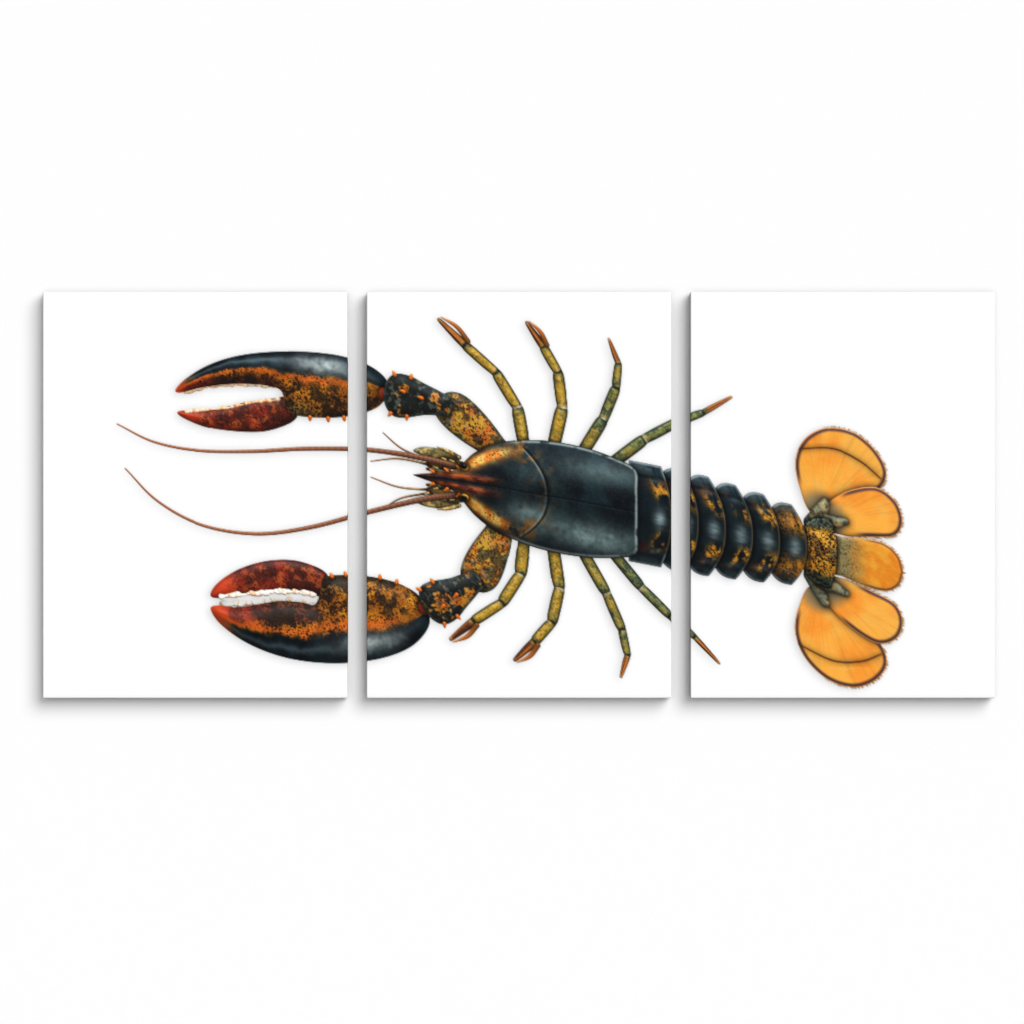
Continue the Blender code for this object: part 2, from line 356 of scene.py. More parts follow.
def pine_material(look, axis):
    """Planed pine with its grain along X or Z."""
    material, nodes, shader = new_material(f"pine along {axis}", 0.55)
    spot = nodes.add("TexCoord").outputs["Object"]
    turn = (0, math.pi / 2, 0) if axis == "Z" else (0, 0, 0)
    turned = nodes.add("Mapping", {"Vector": spot, "Rotation": turn}).outputs[0]
    grain = use_effect(nodes, grain_effect(), {"Vector": turned})
    light, dark = tuple(look.pine_light), tuple(look.pine_dark)
    wood = nodes.mix(nodes.math("MULTIPLY", grain["Late wood"], 0.55), light, dark)
    wood = nodes.mix(nodes.math("MULTIPLY", grain["Fibre"], 0.30), wood, dark)
    knot = tuple(channel * 0.35 for channel in look.pine_dark)
    nodes.feed(shader.inputs["Base Color"], nodes.mix(grain["Knot"], wood, knot))
    rough = nodes.add("MapRange", {"Value": grain["Fibre"], "To Min": 0.48, "To Max": 0.68})
    nodes.feed(shader.inputs["Roughness"], rough.outputs[0])
    bump_from(nodes, shader, grain["Fibre"], 0.00012, 0.6)
    return material


def steel_material(look, name, gloss):
    """Zinc-plated steel, a little dull in places."""
    material, nodes, shader = new_material(name, gloss, 1.0)
    spot = nodes.add("TexCoord").outputs["Object"]
    wear = use_effect(nodes, scratch_effect(), {"Vector": spot, "Scale": 420.0})
    dull = tuple(channel * 0.62 for channel in look.steel)
    nodes.feed(shader.inputs["Base Color"], nodes.mix(wear["Mask"], tuple(look.steel), dull))
    rough = nodes.add("MapRange", {"Value": wear["Mask"], "To Min": gloss - 0.04, "To Max": gloss + 0.16})
    nodes.feed(shader.inputs["Roughness"], rough.outputs[0])
    bump_from(nodes, shader, wear["Height"], 0.00002, 0.5)
    return material


def felt_material(look):
    """Pressed dark felt."""
    material, nodes, shader = new_material("felt", 0.95)
    spot = nodes.add("TexCoord").outputs["Object"]
    wear = use_effect(nodes, scratch_effect(), {"Vector": spot, "Scale": 900.0})
    pale = tuple(channel * 2.2 for channel in look.felt)
    nodes.feed(shader.inputs["Base Color"], nodes.mix(wear["Mask"], tuple(look.felt), pale))
    shader.inputs["Sheen Weight"].default_value = 0.4
    bump_from(nodes, shader, wear["Height"], 0.0003, 0.8)
    return material


def dress(node, material):
    """A CAD node takes a better material."""
    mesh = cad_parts[node].data
    mesh.materials.clear()
    mesh.materials.append(material)


def add_piece(name, bm, materials):
    mesh = bpy.data.meshes.new(name)
    bm.to_mesh(mesh)
    bm.free()
    for material in materials:
        mesh.materials.append(material)
    piece = bpy.data.objects.new(name, mesh)
    bpy.context.scene.collection.objects.link(piece)
    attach(piece, "root")
    return piece


# canvases


class Wrap:
    """One panel's canvas: its box, and the unfolded place of any point of it."""

    def __init__(self, panel):
        low, high = BOXES[panel]
        self.panel = panel
        self.centre = (low + high) / 2
        self.half_x = (high.x - low.x) / 2
        self.half_z = (high.z - low.z) / 2
        self.front = low.y
        self.back = BAR_BACK_Y + 0.0008
        self.depth = self.back - self.front

    def on_outline(self, point):
        """Whether a point lies on the panel's outline, as seen from the front."""
        to_x = self.half_x - abs(point.x - self.centre.x)
        to_z = self.half_z - abs(point.z)
        return min(to_x, to_z) < MM / 100

    def unfold(self, points):
        """Width and height on the flat cloth, from the middle of its front."""
        x = points[:, 0] - self.centre.x
        z = points[:, 2]
        deep = points[:, 1] - self.front
        turn = np.where(deep < self.depth / 2, -1, 1)
        to_x = self.half_x - np.abs(x)
        to_z = self.half_z - np.abs(z)
        on_x = to_x < to_z
        u = np.where(on_x, np.sign(x) * (self.half_x + deep + turn * to_x), x)
        v = np.where(on_x, z, np.sign(z) * (self.half_z + deep + turn * to_z))
        return u, v


def wrap_shell(wrap, look):
    """The cloth's outer skin: front, sides and flaps, with its edges rounded."""
    bm = bmesh.new()
    bmesh.ops.create_cube(bm, size=1)
    bmesh.ops.scale(bm, verts=bm.verts, vec=(2 * wrap.half_x, wrap.depth, 2 * wrap.half_z))
    middle = Vector((wrap.centre.x, wrap.front + wrap.depth / 2, 0))
    bmesh.ops.translate(bm, verts=bm.verts, vec=middle)
    back = max(bm.faces, key=lambda face: face.calc_center_median().y)
    bmesh.ops.inset_region(bm, faces=[back], thickness=look.flap, use_even_offset=True)
    bmesh.ops.delete(bm, geom=[back], context="FACES")
    ridges = [e for e in bm.edges if all(wrap.on_outline(v.co) for v in e.verts)]
    bmesh.ops.bevel(
        bm,
        geom=ridges,
        offset=look.edge_radius,
        segments=4,
        profile=0.5,
        affect="EDGES",
        material=-1,
    )
    bm.normal_update()
    return bm


def cut_across(bm, faces, normal, places, point):
    """Cut some faces by parallel planes; returns the faces they become."""
    axis = Vector(normal)
    for place in places:
        edges = {e for f in faces for e in f.edges}
        verts = {v for f in faces for v in f.verts}
        geom = list(faces) + list(edges) + list(verts)
        cut = bmesh.ops.bisect_plane(bm, geom=geom, dist=MM / 1000, plane_co=axis * place + point,
                                     plane_no=axis)
        faces = {item for item in cut["geom"] if isinstance(item, bmesh.types.BMFace)}
    return faces


# drawing tools for the print, in millimetres: x to the right and z up from the middle of the set
CELL = 0.4
SHADOW_REACH = 2.4
LIGHT = np.array((0.10, 0.45, 0.88))
HALF_WAY = np.array((0.04, 0.46, 0.88))
HIGHLIGHT = np.array((0.74, 0.83, 0.90))


def ink(red, green, blue):
    return np.array((red, green, blue)) / 255


INK = ink(9, 13, 17)
NAVY = ink(20, 33, 38)
AMBER = ink(204, 130, 30)
GOLD = ink(232, 168, 54)
ORANGE = ink(232, 108, 26)
MAROON = ink(92, 34, 24)
MOSS = ink(70, 82, 56)
CREAM = ink(238, 226, 196)
TAN = ink(186, 148, 96)
BROWN = ink(88, 54, 26)
PLUM = ink(58, 42, 56)


def mix(a, b, share):
    return a + (b - a) * np.asarray(share)[..., None]


def ramp(value, low, high):
    """A soft step from 0 at low to 1 at high."""
    t = np.clip((value - low) / (high - low), 0, 1)
    return t * t * (3 - 2 * t)


def bump(value, middle, width):
    return np.exp(-(((value - middle) / width) ** 2))


def noise(x, z, size, seed):
    """Smooth noise from 0 to 1 with features of the given size."""
    lattice = np.random.default_rng(seed).random((257, 257))
    u = x / size + 1000.37
    v = z / size + 1000.71
    i = np.floor(u).astype(int)
    j = np.floor(v).astype(int)
    f = u - i
    g = v - j
    f = f * f * (3 - 2 * f)
    g = g * g * (3 - 2 * g)
    i = i % 256
    j = j % 256
    low = lattice[j, i] * (1 - f) + lattice[j, i + 1] * f
    high = lattice[j + 1, i] * (1 - f) + lattice[j + 1, i + 1] * f
    return low * (1 - g) + high * g


def cloud(x, z, size, seed):
    """Three sizes of noise together, on turned axes so that no lines show."""
    total = 0
    for octave in range(3):
        x, z = 0.8 * x - 0.6 * z, 0.6 * x + 0.8 * z
        total = total + noise(x, z, size / 2**octave, seed + octave) / 2**octave
    return total / 1.75


def spots(x, z, spacing, seed, share):
    """Spots of uneven size and shape, scattered at a spacing, from 0 between them to 1 on them."""
    place = np.random.default_rng(seed).random((3, 256, 256))
    u = x / spacing + 500 + 0.9 * (noise(x, z, 0.8 * spacing, seed + 60) - 0.5)
    v = z / spacing + 500 + 0.9 * (noise(x, z, 0.8 * spacing, seed + 61) - 0.5)
    i = np.floor(u).astype(int)
    j = np.floor(v).astype(int)
    share = share + 0.42 * (cloud(x, z, 3.5 * spacing, seed + 50) - 0.5)
    nearest = np.full(x.shape, 9.0)
    for a in (i - 1, i, i + 1):
        for b in (j - 1, j, j + 1):
            off_u, off_v, size = place[:, b % 256, a % 256]
            distance = np.hypot(u - a - off_u, v - b - off_v) / (0.55 + 0.9 * size)
            nearest = np.minimum(nearest, distance)
    return ramp(share - nearest, -0.09, 0.09)


def soften(field, reach):
    """A field blurred over a reach in millimetres."""
    size = max(int(reach / CELL), 1)
    for axis in (0, 1, 0, 1):
        pad = [(0, 0), (0, 0)]
        pad[axis] = (size + 1, size)
        total = np.cumsum(np.pad(field, pad, mode="edge"), axis)
        count = field.shape[axis]
        ahead = np.take(total, np.arange(2 * size + 1, 2 * size + 1 + count), axis)
        behind = np.take(total, np.arange(count), axis)
        field = (ahead - behind) / (2 * size + 1)
    return field


def curve(stops, steps=10, closed=False):
    """A smooth line through the stops, in any number of columns."""
    stops = np.array(stops, float)
    if closed:
        knots = np.vstack((stops[-1], stops, stops[0], stops[1]))
    else:
        knots = np.vstack((2 * stops[0] - stops[1], stops, 2 * stops[-1] - stops[-2]))
    t = np.linspace(0, 1, steps, endpoint=False)[:, None]
    spans = []
    for a, b, c, d in zip(knots, knots[1:], knots[2:], knots[3:]):
        spans.append(
            0.5 * (2 * b + (c - a) * t + (2 * a - 5 * b + 4 * c - d) * t**2
                   + (3 * b - a - 3 * c + d) * t**3)
        )
    line = np.vstack(spans)
    return line if closed else np.vstack((line, stops[-1]))


def inside(x, z, loop):
    """Distance inside a closed line, negative outside it."""
    nearest = np.full(x.shape, 1e9)
    within = np.zeros(x.shape, bool)
    for (ax, az), (bx, bz) in zip(loop, np.roll(loop, -1, 0)):
        dx, dz = bx - ax, bz - az
        length = dx * dx + dz * dz
        if length < 1e-9:
            continue
        t = np.clip(((x - ax) * dx + (z - az) * dz) / length, 0, 1)
        nearest = np.minimum(nearest, (x - ax - t * dx) ** 2 + (z - az - t * dz) ** 2)
        if dz:
            crosses = ((az > z) != (bz > z)) & (x < ax + (z - az) * dx / dz)
            within ^= crosses
    distance = np.sqrt(nearest)
    return np.where(within, distance, -distance)


ARC_LIFT, ARC_SLOPE, ARC_BEND = 4, 0.165, 0.00012


def body_arc(x):
    """How far the animal's slanted arc lies above the middle of the set, along its length."""
    return ARC_LIFT - ARC_SLOPE * x - ARC_BEND * x**2


class Print:
    """The printed picture: colour and ink, one cell for each CELL of the set's front."""

    def __init__(self, width, height):
        self.left = -width / 2
        self.low = -height / 2
        shape = (round(height / CELL), round(width / CELL))
        self.colour = np.ones((*shape, 3))
        self.ink = np.zeros(shape)
        self.place()

    def place(self, x=0.0, z=0.0, angle=0.0, side=1):
        """Where the next forms go on the body, which lies with its head to the left."""
        turn = math.radians(angle)
        self.turn = np.array(((math.cos(turn), -math.sin(turn)), (math.sin(turn), math.cos(turn))))
        self.root = np.array((x, z))
        self.flip = np.array((-1, side))

    def inked(self, x_low, x_high, z_low, z_high):
        """Whether a region, in metres, holds ink."""
        rows, cols = self.ink.shape
        c0 = int(np.clip((x_low / MM - self.left) / CELL - 1, 0, cols))
        c1 = int(np.clip((x_high / MM - self.left) / CELL + 2, 0, cols))
        r0 = int(np.clip((z_low / MM - self.low) / CELL - 1, 0, rows))
        r1 = int(np.clip((z_high / MM - self.low) / CELL + 2, 0, rows))
        region = self.ink[r0:r1, c0:c1]
        return bool(region.size) and region.max() > 0.02

    def sample(self, x, z):
        """Colour and ink at some points, white outside the print."""
        rows, cols = self.ink.shape
        c = (x - self.left) / CELL - 0.5
        r = (z - self.low) / CELL - 0.5
        known = (c >= 0) & (c < cols - 1) & (r >= 0) & (r < rows - 1)
        c = np.clip(c, 0, cols - 2)
        r = np.clip(r, 0, rows - 2)
        i, j = c.astype(int), r.astype(int)
        f, g = (c - i)[:, None], (r - j)[:, None]
        both_maps = np.dstack((self.colour, self.ink))
        low = both_maps[j, i] * (1 - f) + both_maps[j, i + 1] * f
        high = both_maps[j + 1, i] * (1 - f) + both_maps[j + 1, i + 1] * f
        found = low * (1 - g) + high * g
        found[~known] = (1, 1, 1, 0)
        return found[:, :3], found[:, 3]

    def window(self, points, margin=6):
        """The part of the print round some points: its slices, and its cells' x and z."""
        points = np.asarray(points, float)[:, :2]
        points = (points @ self.turn.T + self.root) * self.flip
        points[:, 1] += body_arc(points[:, 0])
        low = points.min(0) - margin
        high = points.max(0) + margin
        rows, cols = self.ink.shape
        c0 = int(np.clip((low[0] - self.left) / CELL, 0, cols))
        c1 = int(np.clip((high[0] - self.left) / CELL, 0, cols))
        r0 = int(np.clip((low[1] - self.low) / CELL, 0, rows))
        r1 = int(np.clip((high[1] - self.low) / CELL, 0, rows))
        x, z = np.meshgrid(
            self.left + (np.arange(c0, c1) + 0.5) * CELL, self.low + (np.arange(r0, r1) + 0.5) * CELL
        )
        z = (z - body_arc(x)) * self.flip[1] - self.root[1]
        x = x * self.flip[0] - self.root[0]
        (a, b), (c, d) = self.turn
        return (slice(r0, r1), slice(c0, c1)), a * x + c * z, b * x + d * z

    def lay(self, view, depth, height, colour, gloss=0.3, cover=None, shadow=0.6, spread=18):
        """Print a form with relief shading over what is there, with its shadow on the ink below."""
        if cover is None:
            cover = 1.0
        cover = cover * np.clip(0.5 + depth / CELL / 1.5, 0, 1)
        slope_z, slope_x = np.gradient(height, CELL)
        normal = np.stack((-slope_x, -slope_z, np.ones_like(height)), -1)
        normal /= np.linalg.norm(normal, axis=-1, keepdims=True)
        lit = 0.40 + 0.66 * np.clip(normal @ (LIGHT / np.linalg.norm(LIGHT)), 0, 1)
        shine = np.clip(normal @ (HALF_WAY / np.linalg.norm(HALF_WAY)), 0, 1) ** spread
        grazing = (1 - normal[..., 2]) ** 2 * ramp(depth, 0.3, 1.8)
        shaded = colour * lit[..., None] + (gloss * (shine * 0.7 + grazing))[..., None] * HIGHLIGHT
        below = self.colour[view]
        dark = shadow * self.ink[view] * np.exp(-np.clip(-depth, 0, None) / SHADOW_REACH)
        below = below * (1 - dark[..., None])
        self.colour[view] = mix(below, np.clip(shaded, 0, 1), cover)
        self.ink[view] = np.maximum(self.ink[view], cover)

    def tube(self, stops, colouring, gloss=0.25, rough=0.05, seed=1, shadow=0.6, steps=8):
        """A round limb along stops of (x, z, radius); colouring gets x, z, along and across."""
        line = curve(stops, steps)
        reach = line[:, 2].max()
        view, x, z = self.window(line, reach + 4)
        if not x.size:
            return
        depth = np.full(x.shape, -1e9)
        along = np.zeros(x.shape)
        across = np.zeros(x.shape)
        radius = np.ones(x.shape)
        count = len(line) - 1
        for i, (a, b) in enumerate(zip(line, line[1:])):
            dx, dz = b[0] - a[0], b[1] - a[1]
            length = max(dx * dx + dz * dz, 1e-9)
            t = np.clip(((x - a[0]) * dx + (z - a[1]) * dz) / length, 0, 1)
            off_x = x - a[0] - t * dx
            off_z = z - a[1] - t * dz
            r = np.maximum(a[2] + t * (b[2] - a[2]), 0.1)
            distance = np.hypot(off_x, off_z)
            better = r - distance > depth
            depth = np.where(better, r - distance, depth)
            along = np.where(better, (i + t) / count, along)
            side = np.where(dx * off_z - dz * off_x < 0, -1, 1)
            across = np.where(better, side * distance / r, across)
            radius = np.where(better, r, radius)
        height = radius * np.sqrt(np.clip(1 - across**2, 0.04, 1))
        height = height + rough * radius * (cloud(x, z, 2.4, seed) - 0.5)
        self.lay(view, depth, height, colouring(x, z, along, across), gloss, shadow=shadow)

    def plate(self, loop, colouring, rounding, rise, gloss=0.3, rough=0.12, seed=1, shadow=0.6,
              steps=8, crown=None, smooth=1.2, spread=18):
        """A shell plate in a closed line: its edge rounds over, and colouring gets x, z, depth."""
        edge = curve(loop, steps, closed=True)
        view, x, z = self.window(edge)
        depth = inside(x, z, edge)
        inward = np.clip(depth / rounding, 0, 1)
        height = soften(rise * np.sqrt(1 - (1 - inward) ** 2), smooth)
        if crown is not None:
            height = height + crown(x, z, depth)
        height = height + rough * (cloud(x, z, 2.2, seed) - 0.5)
        self.lay(view, depth, height, colouring(x, z, depth), gloss, shadow=shadow, spread=spread)


# the lobster, seen from above: x runs from its tail to its head, z across it
AXIS = 0


def mirrored(points, side):
    """Points given as (x, distance from the axis), placed on one side of the animal."""
    return [(p[0], AXIS + side * p[1], *p[2:]) for p in points]


def both(half):
    """A closed line from its points on one side, front to back or back to front."""
    return mirrored(half, 1) + mirrored(half[::-1], -1)


LEG_REACH, LEG_ROOT = 0.88, 4
# walking legs: (x, distance from axis, half width) at the base, each joint and the tip
LEGS = (
    ((-6, 44, 6.8), (0, 90, 6.2), (20, 126, 5.4), (50, 152, 4.8), (74, 176, 2.0)),
    ((-34, 48, 6.8), (-42, 98, 6.2), (-36, 138, 5.4), (-20, 164, 4.8), (-2, 188, 2.0)),
    ((-62, 48, 6.4), (-86, 94, 5.6), (-100, 132, 4.8), (-104, 160, 3.6), (-96, 186, 1.4)),
    ((-90, 42, 6.0), (-124, 80, 5.4), (-154, 106, 4.4), (-180, 124, 3.4), (-206, 148, 1.4)),
)


def leg_ink(parts, warmth, seed):
    """Mossy green, sunnier along the middle of each part, dark towards each joint, with a brown tip."""

    def colouring(x, z, along, across):
        place = along * parts
        step = place - np.floor(np.clip(place, 0, parts - 1e-6))
        green = mix(ink(92, 104, 62), ink(136, 132, 66), cloud(x, z, 5, seed + 1))
        ochre = mix(ink(188, 142, 34), ink(216, 164, 52), cloud(x, z, 7, seed + 2))
        sunny = bump(step, 0.42, 0.38) * ramp(cloud(x, z, 12, seed) + 0.9 * (warmth - 0.5), 0.30, 0.62)
        tint = mix(green, ochre, np.clip(0.35 * warmth + sunny, 0, 1) * (0.25 + 0.75 * warmth))
        tint = mix(tint, ink(44, 62, 50),
                   0.75 * ramp(cloud(x, z, 3.4, seed + 3), 0.48, 0.66) * (1 - 0.65 * sunny))
        tint = mix(tint, ink(206, 196, 140),
                   0.40 * bump(across, 0.12, 0.16) * ramp(cloud(x, z, 3.0, seed + 4), 0.42, 0.6))
        tint = mix(tint, BROWN, 0.7 * spots(x, z, 2.0, seed + 5, 0.15) * (0.2 + 0.8 * sunny))
        tint = mix(tint, ink(30, 42, 36), 0.85 * ramp(np.abs(across), 0.50, 0.98))
        dark = ramp(step, 0.74, 0.97) * ramp(parts - place, 0.6, 1.0)
        tint = mix(tint, ink(26, 38, 34), 0.72 * dark)
        near = np.minimum(step, 1 - step) * 10
        tint = mix(tint, INK, 0.75 * bump(near, 0, 0.6) * ramp(place, 1.5, 1.7))
        tint = mix(tint, mix(ORANGE, CREAM, 0 * x + 0.55), 0.55 * bump(step, 0.09, 0.05)
                   * ramp(cloud(x, z, 2.4, seed + 6), 0.42, 0.58) * ramp(place, 0.9, 1.1))
        tint = mix(tint, ink(220, 214, 188),
                   0.8 * bump(place, 1.02, 0.035) * ramp(cloud(x, z, 3.0, seed + 8), 0.30, 0.5))
        tip = ramp(place, parts - 1.0, parts - 0.72)
        streaks = mix(ink(206, 118, 40), ink(84, 42, 26),
                      0.9 * ramp(noise(2.4 * across + 7, 5 * along, 1.0, seed + 7), 0.40, 0.6))
        streaks = mix(streaks, ink(70, 34, 24), 0.7 * ramp(np.abs(across), 0.5, 0.95))
        return mix(tint, mix(streaks, ink(232, 190, 130), 0.5 * ramp(place, parts - 0.4, parts)), tip)

    return colouring


def print_leg(page, joints, side, warmth, pincer, seed):
    spots_along = mirrored(joints, side)
    stops = []
    for (ax, az, ar), (bx, bz, br) in zip(spots_along, spots_along[1:]):
        stops.append((ax, az, ar * 0.88))
        for share, wide in ((1 / 3, 1.0), (0.84, 1.05)):
            stops.append((ax + share * (bx - ax), az + share * (bz - az), (ar + share * (br - ar)) * wide))
    stops.append(spots_along[-1])
    parts = len(joints) - 1
    page.tube(stops, leg_ink(parts, warmth, seed), gloss=0.26, seed=seed, rough=0.16, steps=6)
    if pincer:
        (ax, az, ar), (bx, bz, br) = spots_along[-2], spots_along[-1]
        way_x, way_z = -(bz - az) * side * 0.16, (bx - ax) * side * 0.16
        thumb = [(ax + way_x, az + way_z, ar * 0.55),
                 ((ax + bx) / 2 + 1.5 * way_x, (az + bz) / 2 + 1.5 * way_z, ar * 0.45),
                 (bx + way_x * 0.7, bz + way_z * 0.7, 0.8)]
        page.tube(thumb, lambda x, z, s, c: mix(mix(ink(196, 104, 38), BROWN, 0.7 * bump(s, 0, 0.4)), CREAM,
                                                0.35 * ramp(s, 0.6, 1)),
                  seed=seed, shadow=0.5)


# feelers: (x, distance from axis, half width)
ANTENNAE = {
    1: ((62, 14, 3.4), (96, 18, 2.9), (150, 19, 2.4), (210, 13, 2.1), (268, 4, 1.8), (322, 0, 1.5),
        (366, 5, 1.2), (402, 20, 0.7)),
    -1: ((62, 14, 3.4), (96, 23, 2.9), (150, 43, 2.4), (210, 66, 2.1), (264, 78, 1.8), (318, 74, 1.5),
         (362, 54, 1.2), (394, 24, 0.7)),
}
ANTENNULES = (
    ((70, 8, 1.6), (96, 13, 1.3), (122, 14, 1.0), (148, 8, 0.6)),
    ((70, 9, 1.6), (94, 17, 1.3), (118, 25, 1.0), (136, 38, 0.6)),
)


def feeler_ink(x, z, along, across):
    rings = 0.5 + 0.5 * np.cos(along * 420)
    tint = mix(ink(104, 58, 44), ink(150, 86, 60), ramp(along, 0.0, 0.6))
    tint = mix(tint, ink(196, 110, 70), 0.5 * ramp(along, 0.4, 1.0))
    return mix(tint, TAN, 0.18 * rings + 0.25 * ramp(across, 0.0, 0.9))


def antennule_ink(x, z, along, across):
    return mix(TAN, ink(140, 96, 70), ramp(along, 0.1, 1.0))


# tail fan: (x, distance from axis)
TELSON = ((-304, 17), (-324, 20), (-346, 24), (-366, 24), (-380, 15), (-385, 0.5))
INNER_FAN = ((-306, 24), (-302, 40), (-316, 58), (-338, 72), (-360, 78), (-378, 68), (-384, 50), (-376, 34),
             (-352, 27), (-326, 22))
OUTER_FAN = ((-294, 36), (-280, 60), (-276, 86), (-286, 110), (-308, 126), (-334, 128), (-356, 116),
             (-368, 96), (-360, 76), (-328, 54))


def fan_ink(root_x, root_v, side, seed):
    """Clear orange blade with a dark rim at its outer end, and ribs that spread from its root."""

    def colouring(x, z, depth):
        v = (z - AXIS) * side
        angle = np.arctan2(v - root_v, root_x - x)
        reach = np.hypot(v - root_v, root_x - x)
        tint = mix(ink(255, 176, 66), ink(250, 150, 48), ramp(cloud(x, z, 22, seed), 0.3, 0.75))
        tint = mix(tint, ink(244, 182, 84), 0.45 * ramp(cloud(x, z, 16, seed + 2), 0.45, 0.75))
        ribs = noise(angle * 46, reach * 0.03, 1.0, seed + 4)
        tint = mix(tint, BROWN, 0.07 * ramp(ribs, 0.55, 0.9))
        tint = mix(tint, ink(122, 116, 92), 0.85 * ramp(17 - reach, -8, 8))
        outer = ramp(reach, 24, 40)
        tint = mix(tint, PLUM, 0.92 * outer * ramp(depth, 0.6, 1.5) * ramp(5.4 - depth, 0, 3.4))
        return mix(tint, ink(206, 120, 60), 0.7 * ramp(1.0 - depth, -0.3, 0.6))

    return colouring


def telson_ink(x, z, depth):
    tint = mix(ink(234, 158, 48), ink(226, 132, 34), ramp(cloud(x, z, 8, 301), 0.3, 0.7))
    tint = mix(tint, ink(128, 122, 84), 0.9 * ramp(x + 0.4 * (cloud(x, z, 6, 303) - 0.5) * 30, -356, -322))
    tint = mix(tint, INK, 0.5 * spots(x, z, 1.9, 305, 0.24) * ramp(x, -350, -325))
    tint = mix(tint, PLUM, 0.7 * ramp(depth, 0.6, 1.4) * ramp(3.4 - depth, 0, 1.8) * ramp(-x, 340, 356))
    return mix(tint, ink(206, 130, 70), 0.6 * ramp(1.0 - depth, -0.3, 0.6))


def fringe(page, loop, root_x, root_z, grow):
    """The pale hairs round a blade: a larger copy of its line, in streaks."""
    edge = curve(loop, 8, closed=True)
    view, x, z = page.window(edge, grow + 3)
    depth = inside(x, z, edge) + grow
    angle = np.arctan2(z - root_z, x - root_x)
    hair = noise(angle * 75, 0 * x, 1.0, 71)
    outward = ramp(root_x - x, 4, 20)
    cover = ramp(hair, 0.3, 0.7) * ramp(depth, 0.0, grow) * outward * 0.75
    tint = mix(ink(206, 150, 92), CREAM, noise(angle * 50, 0 * x, 1.0, 73))
    page.lay(view, depth, 0 * x, tint, gloss=0, cover=cover, shadow=0)


def root_ink(x, z, along, across):
    tint = mix(ink(120, 122, 98), ink(176, 150, 96), ramp(cloud(x, z, 6, 12), 0.35, 0.7))
    return mix(tint, INK, 0.5 * ramp(cloud(x, z, 4, 14), 0.5, 0.7))


def print_tail_fan(page):
    for side in (1, -1):
        outer = mirrored(OUTER_FAN, side)
        fringe(page, outer, -296, AXIS + side * 50, 2.6)
        page.plate(outer, fan_ink(-300, 42, side, 17), 5, 1.5, seed=3, gloss=0.18, rough=0.1)
        seam = [(-362, 88, 0.5), (-342, 100, 0.7), (-314, 106, 0.7), (-280, 98, 0.5)]
        page.tube(mirrored(seam, side), lambda x, z, s, c: mix(BROWN, MAROON, 0 * x + 0.5), shadow=0.35,
                  gloss=0.1)
    for side in (1, -1):
        inner = mirrored(INNER_FAN, side)
        fringe(page, inner, -316, AXIS + side * 40, 2.6)
        page.plate(inner, fan_ink(-310, 34, side, 37), 5, 1.5, seed=4, gloss=0.18, rough=0.1)
    telson = both(TELSON)
    fringe(page, telson, -330, AXIS, 2.6)
    page.plate(telson, telson_ink, 6, 2.0, seed=6, gloss=0.18, rough=0.2)
    for side in (1, -1):
        for stops in (((-292, 26, 8.0), (-300, 38, 7.5), (-306, 50, 4.5)),
                      ((-304, 32, 6.5), (-316, 33, 5.6), (-327, 36, 3.4))):
            page.tube(mirrored(stops, side), root_ink, seed=8, rough=0.2)


# abdomen: the back edge of each ring on the axis, tail end first, and its half width
RING_EDGES = (-318, -288, -261, -234, -207, -180, -153)
RING_HALF_WIDTHS = (32, 38, 42, 45, 47.5, 49, 48)
RING_SWEEPS = (6, 14, 15, 16, 16, 15, 10)
ABDOMEN_FRONT = -110


